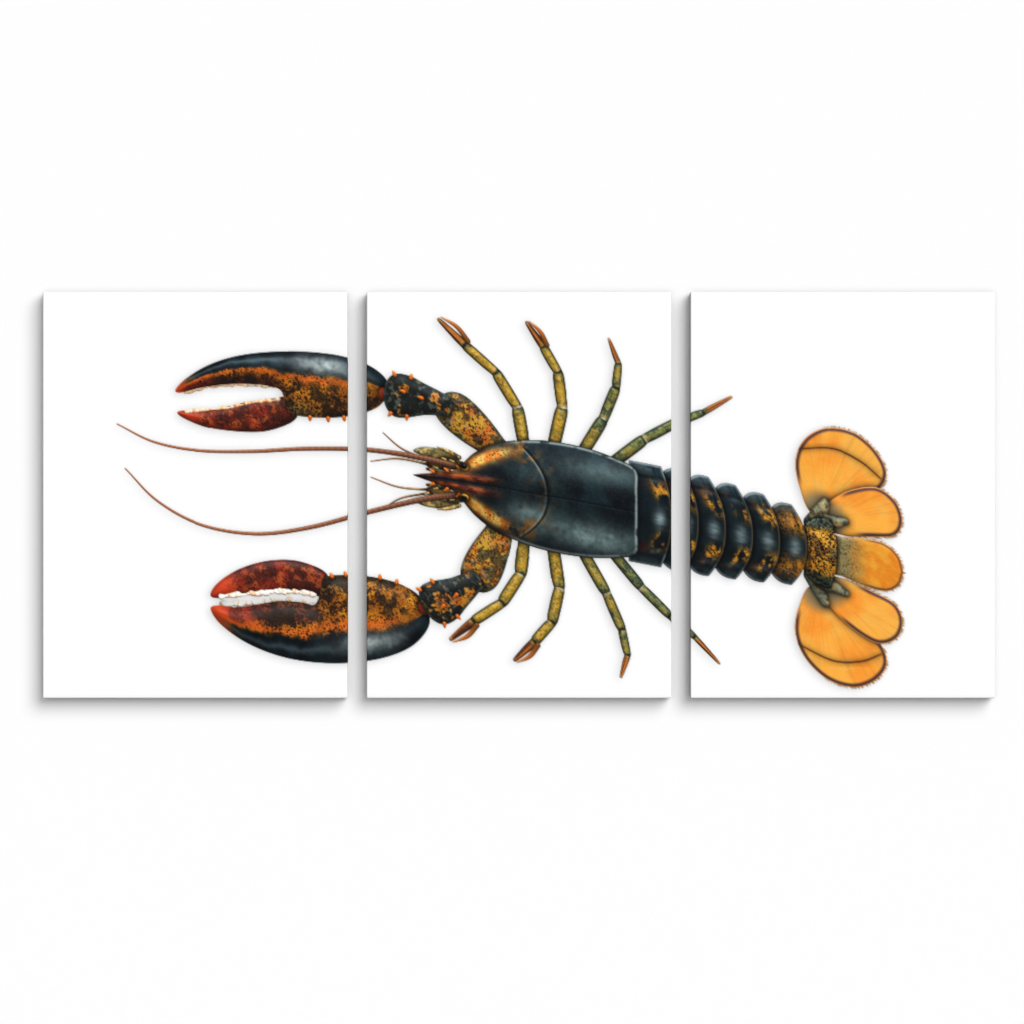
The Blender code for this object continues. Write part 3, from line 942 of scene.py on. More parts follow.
def print_ring(page, number):
    back = RING_EDGES[number]
    half = RING_HALF_WIDTHS[number]
    front = RING_EDGES[number + 1] + 22 if number + 1 < len(RING_EDGES) else ABDOMEN_FRONT
    view, x, z = page.window([(back, AXIS - half - 8), (front, AXIS + half + 8)], 4)
    v = np.abs(z - AXIS)
    ahead = x - back - RING_SWEEPS[number] * (v / half) ** 2.2
    lobe = half + 2.5 - 0.018 * np.clip(ahead - 5, -9, 99) ** 2 * (number < 6)
    depth = np.minimum(np.minimum(ahead, front - x), lobe - v)
    dome = 17 * np.sqrt(np.clip(1 - (v / (half + 4)) ** 2, 0, 1))
    lip = 1.5 * np.sqrt(1 - (1 - np.clip(ahead / 3.5, 0, 1)) ** 2) - 0.9 * bump(ahead, 7.5, 2.6)
    fold = 1.3 * ramp(v, half - 13, half - 8)
    height = dome + lip + fold + soften(1.2 * np.sqrt(1 - (1 - np.clip(depth / 3, 0, 1)) ** 2), 0.6)
    height = height + 0.10 * (cloud(x, z, 2.6, 50 + number) - 0.5)
    tint = mix(INK, NAVY, cloud(x, z, 9, 60 + number))
    flame = bump(v, 24, 9) * bump(ahead, 8 + 0.25 * (v - 24), 7)
    blaze = np.clip(1.9 * flame * ramp(cloud(ahead * 1.3, z * 0.7, 7, 66 + number), 0.40, 0.60), 0, 1)
    tint = mix(tint, mix(mix(AMBER, GOLD, 0 * x + 0.4), BROWN,
                         ramp(cloud(x, z, 4, 68 + number), 0.42, 0.78)), blaze * 0.95)
    tint = mix(tint, MAROON, 0.4 * bump(v, 34, 7) * ramp(cloud(x, z, 8, 69 + number), 0.45, 0.7))
    tint = mix(tint, INK, 0.6 * spots(x, z, 2.2, 70 + number, 0.26) * ramp(blaze, 0.1, 0.5))
    sheen = bump(z - AXIS, -2, 9) * bump(ahead, 12, 6) * (0.35 + 1.1 * cloud(0.5 * x, 2 * z, 5, 80 + number))
    sheen = sheen + 0.28 * bump(v, half - 13, 3) * bump(ahead, 11, 6)
    tint = mix(tint, ink(158, 180, 182), np.clip(0.72 * sheen, 0, 1) * (number > 0))
    side_tint = mix(NAVY, ink(66, 88, 92),
                    ramp(v, half - 8, half) * ramp(cloud(x, z, 7, 84 + number), 0.25, 0.6))
    tint = mix(tint, side_tint, 0.6 * ramp(v, half - 12, half - 4))
    tint = mix(tint, ink(176, 192, 200), 0.75 * bump(depth, 1.0, 0.9) * ramp(v, half - 16, half - 6))
    tint = mix(tint, ink(120, 108, 84), 0.6 * bump(ahead, 0.9, 0.8) * ramp(half - 10 - v, 0, 6))
    if number == 0:
        gold = mix(GOLD, AMBER, ramp(cloud(x, z, 7, 90), 0.3, 0.7))
        tint = mix(tint, gold, 0.95 * ramp(half - 5 - v, 0, 9))
        tint = mix(tint, ink(96, 104, 92), 0.75 * bump(z - AXIS, 0, 9) * ramp(x + 0.6 * v, -300, -318))
        tint = mix(tint, BROWN, 0.75 * ramp(cloud(x, z, 8, 91), 0.44, 0.62))
        tint = mix(tint, MOSS, 0.6 * ramp(v, half - 14, half - 4))
        tint = mix(tint, INK, 0.92 * spots(x, z, 2.1, 92, 0.34))
    if number == 1:
        tint = mix(tint, mix(AMBER, MAROON, 0.5 * cloud(x, z, 5, 93)),
                   0.8 * bump(v, 22, 10) * (1 - 0.9 * spots(x, z, 2.4, 94, 0.36)))
    page.lay(view, depth, height, tint, gloss=0.16, spread=24, shadow=0.9)


# carapace: (x, distance from axis), from its back edge to the tip of the rostrum
CARAPACE = ((-119, 20), (-117, 42), (-96, 50), (-64, 55), (-28, 55), (4, 50), (28, 42), (44, 32), (54, 22),
            (60, 14), (70, 9), (86, 5), (104, 0.8))
GROOVE_X = -30
GROOVE_SWEEP = 26


def carapace_ink(x, z, depth):
    v = np.abs(z - AXIS)
    low = 0.35 + 0.65 * ramp(AXIS - z, -6, 8)
    tint = mix(INK, NAVY, 0.9 * ramp(cloud(x, z, 16, 101), 0.3, 0.8))
    grey = bump(v, 34, 14) * low * bump(x, -78, 46) + 0.75 * bump(v, 22, 12) * low * bump(x, -10, 26)
    tint = mix(tint, ink(136, 160, 158), np.clip(0.80 * grey * (0.55 + 0.8 * cloud(x, z, 5, 108)), 0, 1))
    high = bump(v, 33, 10) * (1 - low) * bump(x, -88, 40)
    tint = mix(tint, ink(122, 146, 146), 0.55 * high * (0.5 + 0.8 * cloud(x, z, 5, 109)))
    groove = GROOVE_X + GROOVE_SWEEP * (v / 45) ** 2.2
    flank = ramp(v, 20, 34)
    mottled = bump(x - groove, 6, 16) * (0.25 + 0.75 * flank) * ramp(cloud(x, z, 6, 112), 0.46, 0.66)
    tint = mix(tint, mix(BROWN, AMBER, 0.6 * cloud(x, z, 4, 113)), 0.85 * mottled)
    tint = mix(tint, ink(190, 204, 200),
               0.5 * bump(x - groove, 2.4, 1.2) * (0.3 + 0.7 * ramp(v, 6, 30)) * ramp(48 - v, 0, 8))
    cheek_v = np.interp(x, (-10, 10, 30, 46, 52), (47, 41, 33, 24, 19))
    cheek = bump(v, cheek_v - 3, 6.5) * ramp(x, -16, 14)
    blaze = mix(ink(236, 186, 88), ink(222, 122, 36), ramp(cloud(x, z, 6, 117), 0.30, 0.62))
    tint = mix(tint, blaze, np.clip(cheek * (0.55 + 0.75 * ramp(x, 5, 30))
                                    * ramp(cloud(x, z, 6, 118) + 0.012 * x, 0.35, 0.6), 0, 1))
    tint = mix(tint, ink(40, 22, 12), 0.75 * spots(x, z, 2.6, 119, 0.20) * cheek)
    face = ramp(x, 8, 50) * bump(v, 7 - 0.03 * x, 4.2)
    tint = mix(tint, mix(MAROON, ink(190, 84, 34), ramp(cloud(x * 0.4, z, 3.0, 121), 0.35, 0.7)), 0.9 * face)
    tint = mix(tint, INK, 0.9 * bump(v, 0, 2.4) * ramp(x, 0, 40))
    tint = mix(tint, ink(6, 8, 11), 0.8 * bump(v, 0, 0.8) * ramp(-x, -30, 0))
    tint = mix(tint, ink(3, 5, 8), 0.85 * bump(x - groove, 0, 1.1) * ramp(47 - v, 0, 6))
    tint = mix(tint, ink(190, 206, 202),
               0.75 * bump(depth, 1.8, 1.3) * ramp(-x, -24, 6) * ramp(cloud(x, z, 9, 126), 0.2, 0.5))
    tint = mix(tint, ink(160, 182, 180), 0.07 * ramp(cloud(x, z, 1.3, 127), 0.5, 0.8))
    return tint


def carapace_crown(x, z, depth):
    v = np.abs(z - AXIS)
    half = np.interp(x, [p[0] for p in CARAPACE[1:]], [p[1] for p in CARAPACE[1:]])
    dome = 17 * np.sqrt(np.clip(1 - (v / (half + 4)) ** 2, 0, 1))
    groove = GROOVE_X + GROOVE_SWEEP * (v / 45) ** 2.2
    dent = 1.1 * bump(x - groove, 0, 2.2) * ramp(47 - v, 0, 6)
    keel = 1.4 * bump(v, 6, 2.8) * ramp(x, 10, 46)
    return dome - dent + keel - 0.4 * bump(v, 0, 1.0)


def base_ink(x, z, along, across):
    tint = mix(mix(ink(168, 146, 78), AMBER, cloud(x, z, 6, 133)), CREAM,
               0.6 * ramp(cloud(x, z, 3, 134), 0.45, 0.62))
    tint = mix(tint, ink(30, 36, 30), 0.75 * ramp(cloud(x, z, 3.0, 135), 0.56, 0.68))
    return mix(tint, MAROON, 0.7 * bump(along, 1.0, 0.15))


def scale_ink(x, z, depth):
    tint = mix(ink(206, 172, 96), ink(150, 128, 62), ramp(cloud(x, z, 5, 131), 0.3, 0.7))
    tint = mix(tint, ink(236, 224, 190), 0.5 * ramp(cloud(x, z, 2.4, 130), 0.52, 0.7))
    tint = mix(tint, ink(70, 66, 40), 0.7 * ramp(cloud(x, z, 3.2, 132), 0.54, 0.68))
    return mix(tint, ink(56, 60, 44), 0.75 * ramp(1.8 - depth, 0, 1.6))


def print_head(page):
    for side in (1, -1):
        page.plate(mirrored([(60, 20), (70, 27), (84, 30), (98, 29), (106, 24), (96, 20), (78, 14)], side),
                   scale_ink, 2.5,
                   1.4, seed=13)
        page.tube(mirrored([(60, 24, 2.2), (72, 29, 1.8), (82, 31, 0.5)], side), base_ink, seed=15)
        for stops in (((54, 14, 5.6), (64, 16, 5.4), (74, 16, 4.6)),
                      ((70, 15, 4.4), (80, 14, 4.0), (90, 13, 3.2)),
                      ((58, 6, 3.2), (78, 7, 2.4), (92, 8, 1.5))):
            page.tube(mirrored(stops, side), base_ink, seed=14)
        for x0, v0 in ((66, 19), (74, 20), (84, 17), (91, 16), (70, 11), (82, 10)):
            page.tube(mirrored([(x0, v0, 1.3), (x0 + 4, v0 + 1.2, 0.4)], side),
                      lambda x, z, s, c: mix(GOLD, CREAM, 0 * x + 0.4),
                      shadow=0.5)


def print_eyes(page):
    for side in (1, -1):
        x0, z0 = 55, AXIS + side * 15.5
        view, x, z = page.window([(x0, z0)], 10)
        reach = np.hypot(x - x0, (z - z0) * 1.15)
        ring = mix(GOLD, BROWN, ramp((z - z0) * side + 0.4 * (x - x0), -4, 1))
        tint = mix(ring, ink(8, 8, 9),
                   ramp(3.3 - np.hypot(x - x0 - 0.6, (z - z0) * 1.15 - side * 0.5), -0.5, 0.6))
        height = np.sqrt(np.clip(4.8**2 - reach**2, 0.01, None))
        page.lay(view, 4.5 - reach, height, tint, gloss=0.7, spread=60, shadow=0.8)


def print_spines(page, places, length=5.0, width=1.8):
    """Short pointed spines: (x, z, angle in degrees)."""
    for x, z, angle in places:
        turn = math.radians(angle)
        tip = (x + length * math.cos(turn), z + length * math.sin(turn), 0.35)
        page.tube([(x, z, width), ((x + tip[0]) / 2, (z + tip[1]) / 2, width * 0.75), tip],
                  lambda x, z, s, c: mix(ORANGE, GOLD, ramp(s, 0.5, 1.0)), gloss=0.3, shadow=0.5)


# great claws, each in its own frame: from the wrist along x, with its outer edge towards +z
CUTTER_PALM = ((0, 8), (6, 20), (24, 30), (52, 36), (90, 37), (126, 34), (156, 28), (182, 18), (204, 4),
               (214, -7), (208, -9), (190, -4), (168, 0), (146, 2), (122, 1), (108, -3), (104, -16),
               (98, -26), (76, -28), (50, -26), (26, -20), (8, -10))
CUTTER_FINGER = ((92, -20), (100, -9), (114, -11), (136, -15), (162, -21), (186, -26), (208, -27),
                 (213, -30), (204, -36), (184, -43), (156, -46), (128, -45), (106, -38), (94, -30))
CRUSHER_PALM = ((0, 8), (6, 24), (26, 40), (58, 50), (98, 53), (136, 49), (166, 40), (192, 26), (212, 8),
                (219, -7), (211, -10), (192, -7), (170, -9), (148, -11), (128, -9), (114, -6), (106, -18),
                (100, -32), (78, -34), (50, -31), (26, -24), (8, -12))
CRUSHER_FINGER = ((96, -26), (102, -14), (118, -16), (140, -20), (164, -20), (188, -18), (210, -17),
                  (217, -21), (208, -32), (186, -44), (158, -51), (130, -51), (108, -44), (97, -36))
MERUS = ((0, -11), (-2, 9), (16, 16), (40, 21), (60, 22), (72, 18), (79, 9), (79, -8), (72, -15),
         (58, -18), (38, -17), (16, -13))
CARPUS = ((-5, -8), (-5, 8), (6, 13), (22, 18), (38, 23), (52, 22), (60, 13), (62, 0), (60, -11),
          (52, -20), (40, -20), (22, -14), (6, -11))


def claw_ink(outer_line, inner_line, seed):
    """Near black along the outer edge, a bright orange band inside it, spotted amber, then red tips."""
    outer_x, outer_z = zip(*outer_line)
    inner_x, inner_z = zip(*inner_line)

    def colouring(x, z, depth):
        top = np.interp(x, outer_x, outer_z)
        bottom = np.interp(x, inner_x, inner_z)
        across = np.clip((top - z) / (top - bottom), 0, 1)
        across = across + 0.10 * (cloud(x, z, 12, seed) - 0.5) + 0.05 * (cloud(x, z, 3.5, seed + 1) - 0.5)
        tips = ramp(x, 152, 202)
        amber = mix(AMBER, ink(150, 84, 26), ramp(cloud(x, z, 10, seed + 3), 0.35, 0.7))
        tint = mix(amber, ink(216, 104, 32), np.clip(bump(across, 0.44, 0.075) * 1.1 * ramp(x, 10, 52), 0, 1))
        tint = mix(tint, mix(ink(112, 56, 36), ink(64, 30, 26), ramp(cloud(x, z, 8, seed + 5), 0.35, 0.65)),
                   ramp(across, 0.50, 0.66) * ramp(x, 88, 128) * 0.95)
        tint = mix(tint, ink(104, 96, 70), 0.65 * ramp(across, 0.70, 0.95) * bump(x, 92, 20))
        tint = mix(tint, ink(176, 44, 26), 0.85 * tips * ramp(across, 0.3, 0.6))
        dense = 0.36 + 0.2 * (cloud(x, z, 14, seed + 7) - 0.5) - 0.12 * bump(across, 0.44, 0.08) - 0.20 * tips
        tint = mix(tint, ink(34, 20, 14), 0.88 * spots(x, z, 2.3, seed + 9, dense))
        tint = mix(tint, ink(34, 26, 22), 0.80 * ramp(cloud(x, z, 9, seed + 11), 0.42, 0.58)
                   * (1 - 0.5 * tips) * (1 - 0.75 * bump(across, 0.44, 0.09)))
        shell = mix(INK, NAVY, ramp(cloud(x, z, 14, seed + 13), 0.3, 0.8))
        tint = mix(tint, shell, ramp(0.36 - across, -0.05, 0.05) * (1 - 0.75 * ramp(x, 186, 212)))
        pale = bump(across, 0.20, 0.13) * bump(x, 62, 34)
        tint = mix(tint, ink(176, 186, 184), 0.85 * pale * (0.5 + 0.8 * cloud(x, z, 5, seed + 15)))
        tint = mix(tint, ink(120, 142, 148), 0.38 * bump(across, 0.16, 0.06) * ramp(x, 80, 120))
        tint = mix(tint, ink(214, 70, 30), 0.9 * ramp(x, 198, 212))
        return tint

    return colouring


CUTTER_INK = claw_ink(((0, 10), (24, 30), (52, 36), (90, 37), (126, 34), (156, 28), (182, 18), (204, 4),
                       (214, -6)),
                      ((0, -8), (26, -20), (76, -28), (104, -22), (122, -6), (168, -2), (190, -6),
                       (214, -12)), 191)
CRUSHER_INK = claw_ink(((0, 10), (26, 40), (58, 50), (98, 53), (136, 49), (166, 40), (192, 26), (212, 8),
                        (219, -6)),
                       ((0, -10), (26, -24), (78, -34), (106, -26), (128, -14), (170, -12), (192, -10),
                        (219, -13)), 251)


def finger_ink(seed):
    def colouring(x, z, depth):
        tint = mix(ink(136, 42, 26), ink(74, 30, 24), ramp(cloud(x, z, 9, seed), 0.32, 0.62))
        tint = mix(tint, ink(186, 82, 36),
                   0.75 * ramp(depth, 2.0, 5.5) * ramp(cloud(x, z, 6, seed + 3), 0.44, 0.66))
        tint = mix(tint, ink(40, 22, 18),
                   0.85 * ramp(128 - x, 0, 30) * ramp(cloud(x, z, 8, seed + 5), 0.3, 0.65))
        tint = mix(tint, ink(34, 16, 14), 0.7 * spots(x, z, 2.2, seed + 7, 0.26) * ramp(depth, 1, 4))
        return mix(tint, ink(214, 62, 32), 0.85 * ramp(x, 182, 204))

    return colouring


def arm_ink(seed, dark, gold):
    """Spotted ochre, with dark shading that covers some share of it and dark green edges."""

    def colouring(x, z, depth):
        tint = mix(ink(196, 112, 34), ink(198, 150, 48), gold * ramp(cloud(x, z, 12, seed), 0.25, 0.65))
        tint = mix(tint, ink(196, 88, 28), 0.6 * ramp(cloud(x, z, 6, seed + 2), 0.48, 0.68))
        tint = mix(tint, ink(52, 26, 14), 0.88 * spots(x, z, 3.0, seed + 6, 0.30))
        shade = cloud(x, z, 10, seed + 4) + 0.25 * (cloud(x, z, 2.6, seed + 5) - 0.5)
        tint = mix(tint, ink(20, 26, 27), dark * ramp(shade, 0.72 - 0.40 * dark, 0.82 - 0.40 * dark))
        tint = mix(tint, ink(150, 160, 150), 0.35 * ramp(cloud(x, z, 4, seed + 7), 0.60, 0.75))
        edge = mix(ink(40, 56, 48), ink(92, 108, 104), ramp(cloud(x, z, 5, seed + 8), 0.35, 0.7))
        return mix(tint, edge, 0.80 * ramp(3.6 - depth, 0, 3.2))

    return colouring


def print_teeth(page, stops, count, size, seed, pale=0.5):
    """A ridge of pale teeth of uneven size along a finger's inner edge."""
    line = curve(stops, 24)
    chance = np.random.default_rng(seed)
    ridge = []
    for share in np.linspace(0.01, 0.99, count):
        x, z = line[int(share * (len(line) - 1))]
        ridge.append((x, z + 0.5 * size * (chance.random() - 0.5), size * (0.35 + 0.85 * chance.random())))

    def colouring(x, z, along, across):
        gap = bump(noise(along * count * 1.3, 0 * x, 1.0, seed), 0.5, 0.06)
        tint = mix(ORANGE, ink(255, 248, 234), np.clip(pale + 0.7 * cloud(x, z, 2.5, seed + 1) - 0.2, 0, 1))
        return mix(tint, ink(176, 96, 54), 0.5 * gap) * 1.2

    page.tube(ridge, colouring, gloss=0.1, rough=0.3, seed=seed, shadow=0.15, steps=3)


HIP = (16, 32)
UPPER_REACH, FORE_REACH = 71, 57
# each claw: its side, the angles of upper arm, forearm and claw, its outlines, ink, teeth and spines
CLAWS = (
    (1, (36, 3, -3), CUTTER_PALM, CUTTER_FINGER, CUTTER_INK, 1.8, 0.45,
     ([(114, 0), (146, 1), (172, -1), (206, -9)], [(110, -12), (136, -16), (162, -22), (206, -28)]),
     [(30, -21, -105), (46, -26, -95), (62, -28, -90), (80, -28, -85)]),
    (-1, (66, 36, 9), CRUSHER_PALM, CRUSHER_FINGER, CRUSHER_INK, 3.0, 0.75,
     ([(114, -8), (148, -12), (176, -10), (210, -11)], [(112, -16), (140, -20), (166, -20), (208, -19)]),
     [(28, -25, -110), (44, -30, -98), (60, -33, -92), (78, -34, -86), (92, -33, -75)]),
)


def onward(start, angle, reach):
    """The point some way on from another, at an angle in degrees."""
    turn = math.radians(angle)
    return start[0] + reach * math.cos(turn), start[1] + reach * math.sin(turn)


def print_claws(page):
    """Arm, claw and teeth on each side: the cutter above the axis and the crusher below it."""
    for side, (upper, fore, turn), palm, finger, colours, size, pale, rows, spines in CLAWS:
        seed = 170 + 40 * (side < 0)
        elbow = onward(HIP, upper, UPPER_REACH)
        page.place(*HIP, upper, side)
        page.plate(MERUS, arm_ink(seed, 0.62, 1.0), 13, 7, seed=21, gloss=0.24)
        page.place(*onward(elbow, fore, FORE_REACH), turn, side)
        print_teeth(page, rows[0], 34, size, seed + 25, pale)
        page.plate(finger, finger_ink(seed - 19), 10, 6, seed=23, gloss=0.26)
        print_teeth(page, rows[1], 34, size, seed + 26, pale)
        page.plate(palm, colours, 24, 12, seed=24, gloss=0.20, spread=26, smooth=3, shadow=0.25)
        print_spines(page, spines, 4, 2.1)
        page.tube([(-5, 0, 7.0), (3, 0, 7.2)],
                  lambda x, z, s, c: mix(MAROON, ink(190, 62, 34), ramp(s, 0.1, 0.8)), gloss=0.3)
        page.place(*elbow, fore, side)
        page.plate(CARPUS, arm_ink(seed + 41, 0.95, 0.6), 12, 8, seed=31, gloss=0.28)
        print_spines(page, [(36, 21, 100), (52, 21, 60), (24, 3, 10), (42, 6, 10), (54, -18, -55),
                            (38, -18, -90)], 4.6, 2.0)
    page.place()


def print_soft_shadow(page):
    """A faint grey shadow on the bare canvas, stronger to the left of the animal."""
    wide = soften(page.ink, 4.5)
    near = soften(page.ink, 1.6)
    shift = int(3.0 / CELL)
    shade = 0.16 * np.roll(wide, (-shift // 2, -shift), (0, 1)) + 0.06 * near
    page.colour *= (1 - shade * (1 - page.ink))[..., None]


def print_lobster(page):
    for side in (1, -1):
        for number, joints in enumerate(LEGS):
            sway = side * (-1) ** number
            swayed = [(x + sway * 1.5 * step, LEG_REACH * v + LEG_ROOT, r) for step,
                      (x, v, r) in enumerate(joints)]
            print_leg(page, swayed, side, (0.9, 0.8, 0.45, 0.25)[number], number < 2,
                      410 + number + 10 * side)
    print_tail_fan(page)
    for number in range(len(RING_EDGES)):
        print_ring(page, number)
    for side in (1, -1):
        for stops in ANTENNULES:
            page.tube(mirrored(stops, side), antennule_ink, shadow=0.2)
    print_claws(page)
    print_head(page)
    for side in (1, -1):
        page.tube(mirrored(ANTENNAE[side], side), feeler_ink, shadow=0.3, gloss=0.15)
    page.plate(both(CARAPACE), carapace_ink, 5, 2.6, seed=33, gloss=0.13, crown=carapace_crown, rough=0.12,
               spread=20)
    for side in (1, -1):
        print_spines(page, mirrored([(60, 13, side * 40), (72, 9, side * 35), (86, 6, side * 30)], side),
                     4.2, 1.7)
    print_eyes(page)
    print_soft_shadow(page)


def carries_ink(face, wrap, page):
    points = np.array([vert.co for vert in face.verts])
    u, v = wrap.unfold(points)
    return page.inked(wrap.centre.x + u.min(), wrap.centre.x + u.max(), v.min(), v.max())


def cut_for_print(bm, wrap, look, page):
    """Cells over the front and the upright sides, finer where they carry ink."""
    middle = Vector((wrap.centre.x, 0, 0))
    cell = look.cell
    front = {f for f in bm.faces if f.material_index == 0 and f.normal.y < -0.99}
    columns = round(wrap.half_x / cell)
    rows = round(wrap.half_z / cell)
    cut_across(bm, front, (1, 0, 0), [n * cell for n in range(1 - columns, columns)], middle)
    faced = {
        f
        for f in bm.faces
        if f.material_index == 0
        and abs(f.normal.z) < 0.2
        and f.calc_center_median().y < wrap.back - look.edge_radius
    }
    cut_across(bm, faced, (0, 0, 1), [n * cell for n in range(1 - rows, rows)], middle)
    sides = {f for f in bm.faces if f.material_index == 0 and abs(f.normal.x) > 0.99}
    sides = {f for f in sides if f.calc_center_median().y < wrap.back - look.edge_radius}
    places = [wrap.front + look.edge_radius + n * cell for n in range(1, 3)]
    cut_across(bm, sides, (0, 1, 0), places, Vector())
    lining = {f for f in bm.faces if f.material_index == 1 and f.normal.y > 0.99}
    lining = {f for f in lining if f.calc_center_median().y < wrap.front + wrap.depth / 2}
    wide = 5 * cell
    count = int(wrap.half_x / wide)
    lining = cut_across(bm, lining, (1, 0, 0), [n * wide for n in range(-count, count + 1)], middle)
    count = int(wrap.half_z / wide)
    cut_across(bm, lining, (0, 0, 1), [n * wide for n in range(-count, count + 1)], middle)
    inked = [
        f
        for f in bm.faces
        if f.material_index == 0
        and abs(f.normal.z) < 0.5
        and f.calc_center_median().y < wrap.back - look.edge_radius
        and len(f.verts) == 4
        and carries_ink(f, wrap, page)
    ]
    edges = list({edge for face in inked for edge in face.edges})
    bmesh.ops.subdivide_edges(bm, edges=edges, cuts=look.print_cuts, use_grid_fill=True)


def fold_corner(bm, wrap, look, side_x, side_z):
    """The doubled cloth of a back corner, with a diagonal fold."""
    inset, reach = 6 * look.cloth, 0.012
    flap = look.flap - inset
    outline = (
        (inset, inset),
        (flap, flap),
        (look.flap + reach, flap),
        (look.flap + reach, inset),
    )
    corners = []
    for in_x, in_z in outline:
        place = (
            wrap.centre.x + side_x * (wrap.half_x - in_x),
            wrap.back - look.cloth / 4,
            side_z * (wrap.half_z - in_z),
        )
        corners.append(bm.verts.new(place))
    base = bm.faces.new(corners)
    grown = bmesh.ops.extrude_face_region(bm, geom=[base])["geom"]
    top = [item for item in grown if isinstance(item, bmesh.types.BMVert)]
    bmesh.ops.translate(bm, verts=top, vec=(0, look.cloth, 0))
    rim = [item for item in grown if isinstance(item, bmesh.types.BMEdge)]
    plate = list({f for v in corners + top for f in v.link_faces})
    bmesh.ops.recalc_face_normals(bm, faces=plate)
    bmesh.ops.bevel(
        bm, geom=rim, offset=look.cloth * 0.45, segments=2, profile=0.5, affect="EDGES", material=-1
    )


def relax_middle(bm, wrap, look):
    """The cloth gives way a little between the bars."""
    inner_x = wrap.half_x - BAR_SPAN / 4
    inner_z = wrap.half_z - BAR_SPAN / 4
    for vert in bm.verts:
        if vert.co.y > wrap.front + look.edge_radius:
            continue
        across = min(abs(vert.co.x - wrap.centre.x) / inner_x, 1)
        upward = min(abs(vert.co.z) / inner_z, 1)
        vert.co.y += look.hollow * (1 - across**2) * (1 - upward**2)


def stretch_canvas(panel, look, page, materials):
    """One canvas round its bars, with its part of the print."""
    wrap = Wrap(panel)
    bm = wrap_shell(wrap, look)
    grown = bmesh.ops.solidify(bm, geom=list(bm.faces), thickness=look.cloth)
    for item in grown["geom"]:
        if isinstance(item, bmesh.types.BMFace):
            item.material_index = 1
    cut_for_print(bm, wrap, look, page)
    relax_middle(bm, wrap, look)
    for side_x in (-1, 1):
        for side_z in (-1, 1):
            fold_corner(bm, wrap, look, side_x, side_z)
    for face in bm.faces:
        face.smooth = True
    canvas = add_piece(f"{panel}_stretched_canvas", bm, materials)
    canvas.data.set_sharp_from_angle(angle=math.radians(50))
    print_on(canvas, wrap, look, page)
    normals = canvas.modifiers.new("normals", "WEIGHTED_NORMAL")
    normals.keep_sharp = True
    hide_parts(f"{panel}_canvas")
    return canvas


def print_on(canvas, wrap, look, page):
    """The weave's flat coordinates and the print's colours, point by point."""
    mesh = canvas.data
    count = len(mesh.vertices)
    points = np.empty(count * 3)
    mesh.vertices.foreach_get("co", points)
    u, v = wrap.unfold(points.reshape(-1, 3))
    colour, cover = page.sample((wrap.centre.x + u) / MM, v / MM)
    beyond = np.abs(u) - wrap.half_x - wrap.depth
    cover = cover * np.clip(1 - beyond / look.edge_radius, 0, 1)
    colour = 1 + (colour - 1) * np.clip(1 - beyond / look.edge_radius, 0, 1)[:, None]
    linear = np.where(colour <= 0.04045, colour / 12.92, ((colour + 0.055) / 1.055) ** 2.4)
    paint = np.column_stack((linear * np.array(look.paper), cover))
    attribute = mesh.attributes.new("print", "FLOAT_COLOR", "POINT")
    attribute.data.foreach_set("color", paint.ravel())
    corners = np.empty(len(mesh.loops), np.int32)
    mesh.loops.foreach_get("vertex_index", corners)
    layer = mesh.uv_layers.new(name="Weave")
    layer.data.foreach_set("uv", np.column_stack((u, v))[corners].ravel())


class CANVASPRINT_OT_canvases(bpy.types.Operator):
    """Stretch the three printed canvases round their bars"""

    bl_idname = "canvas_print.canvases"
    bl_label = "Printed canvases"

    def execute(self, context):
        look = context.scene.canvas_look
        page = Print(2 * CAD_BOX[1].x / MM, 2 * CAD_BOX[1].z / MM)
        print_lobster(page)
        materials = (printed_material(look), raw_material(look))
        for panel in PANELS:
            stretch_canvas(panel, look, page, materials)
        return {"FINISHED"}


# staples and corner fasteners


def bent_wire(bm, path, radius, place, sides=6):
    """A closed wire along a path of points, moved to its place."""
    ring = bmesh.ops.create_circle(bm, cap_ends=True, radius=radius, segments=sides)["verts"]
    edges = list({edge for vert in ring for edge in vert.link_edges})
    pose = Matrix.Identity(4)
    wire = list(ring)
    for number, point in enumerate(path):
        before = path[max(number - 1, 0)]
        after = path[min(number + 1, len(path) - 1)]
        facing = (after - before).to_track_quat("Z", "Y").to_matrix().to_4x4()
        aim = Matrix.Translation(point) @ facing
        if number:
            grown = bmesh.ops.extrude_edge_only(bm, edges=edges)["geom"]
            ring = [item for item in grown if isinstance(item, bmesh.types.BMVert)]
            edges = [
                item
                for item in grown
                if isinstance(item, bmesh.types.BMEdge) and all(v in ring for v in item.verts)
            ]
            wire += ring
        bmesh.ops.transform(bm, matrix=aim @ pose.inverted(), verts=ring)
        pose = aim
    bmesh.ops.contextual_create(bm, geom=edges)
    bmesh.ops.recalc_face_normals(bm, faces=list({f for v in wire for f in v.link_faces}))
    bmesh.ops.transform(bm, matrix=place, verts=wire)


def staple_path(look):
    """A crown along X with its two legs turned down."""
    half = look.staple_crown / 2
    bend = 2.2 * look.staple_wire
    quarter = [(math.sin(a), math.cos(a)) for a in (0, math.pi / 6, math.pi / 3, math.pi / 2)]
    arc = [Vector((half - bend + bend * s, bend * c - bend, 0)) for s, c in quarter]
    leg = Vector((half, -bend - look.staple_wire * 2, 0))
    right = arc + [leg]
    left = [Vector((-point.x, point.y, 0)) for point in reversed(right)]
    return left + right


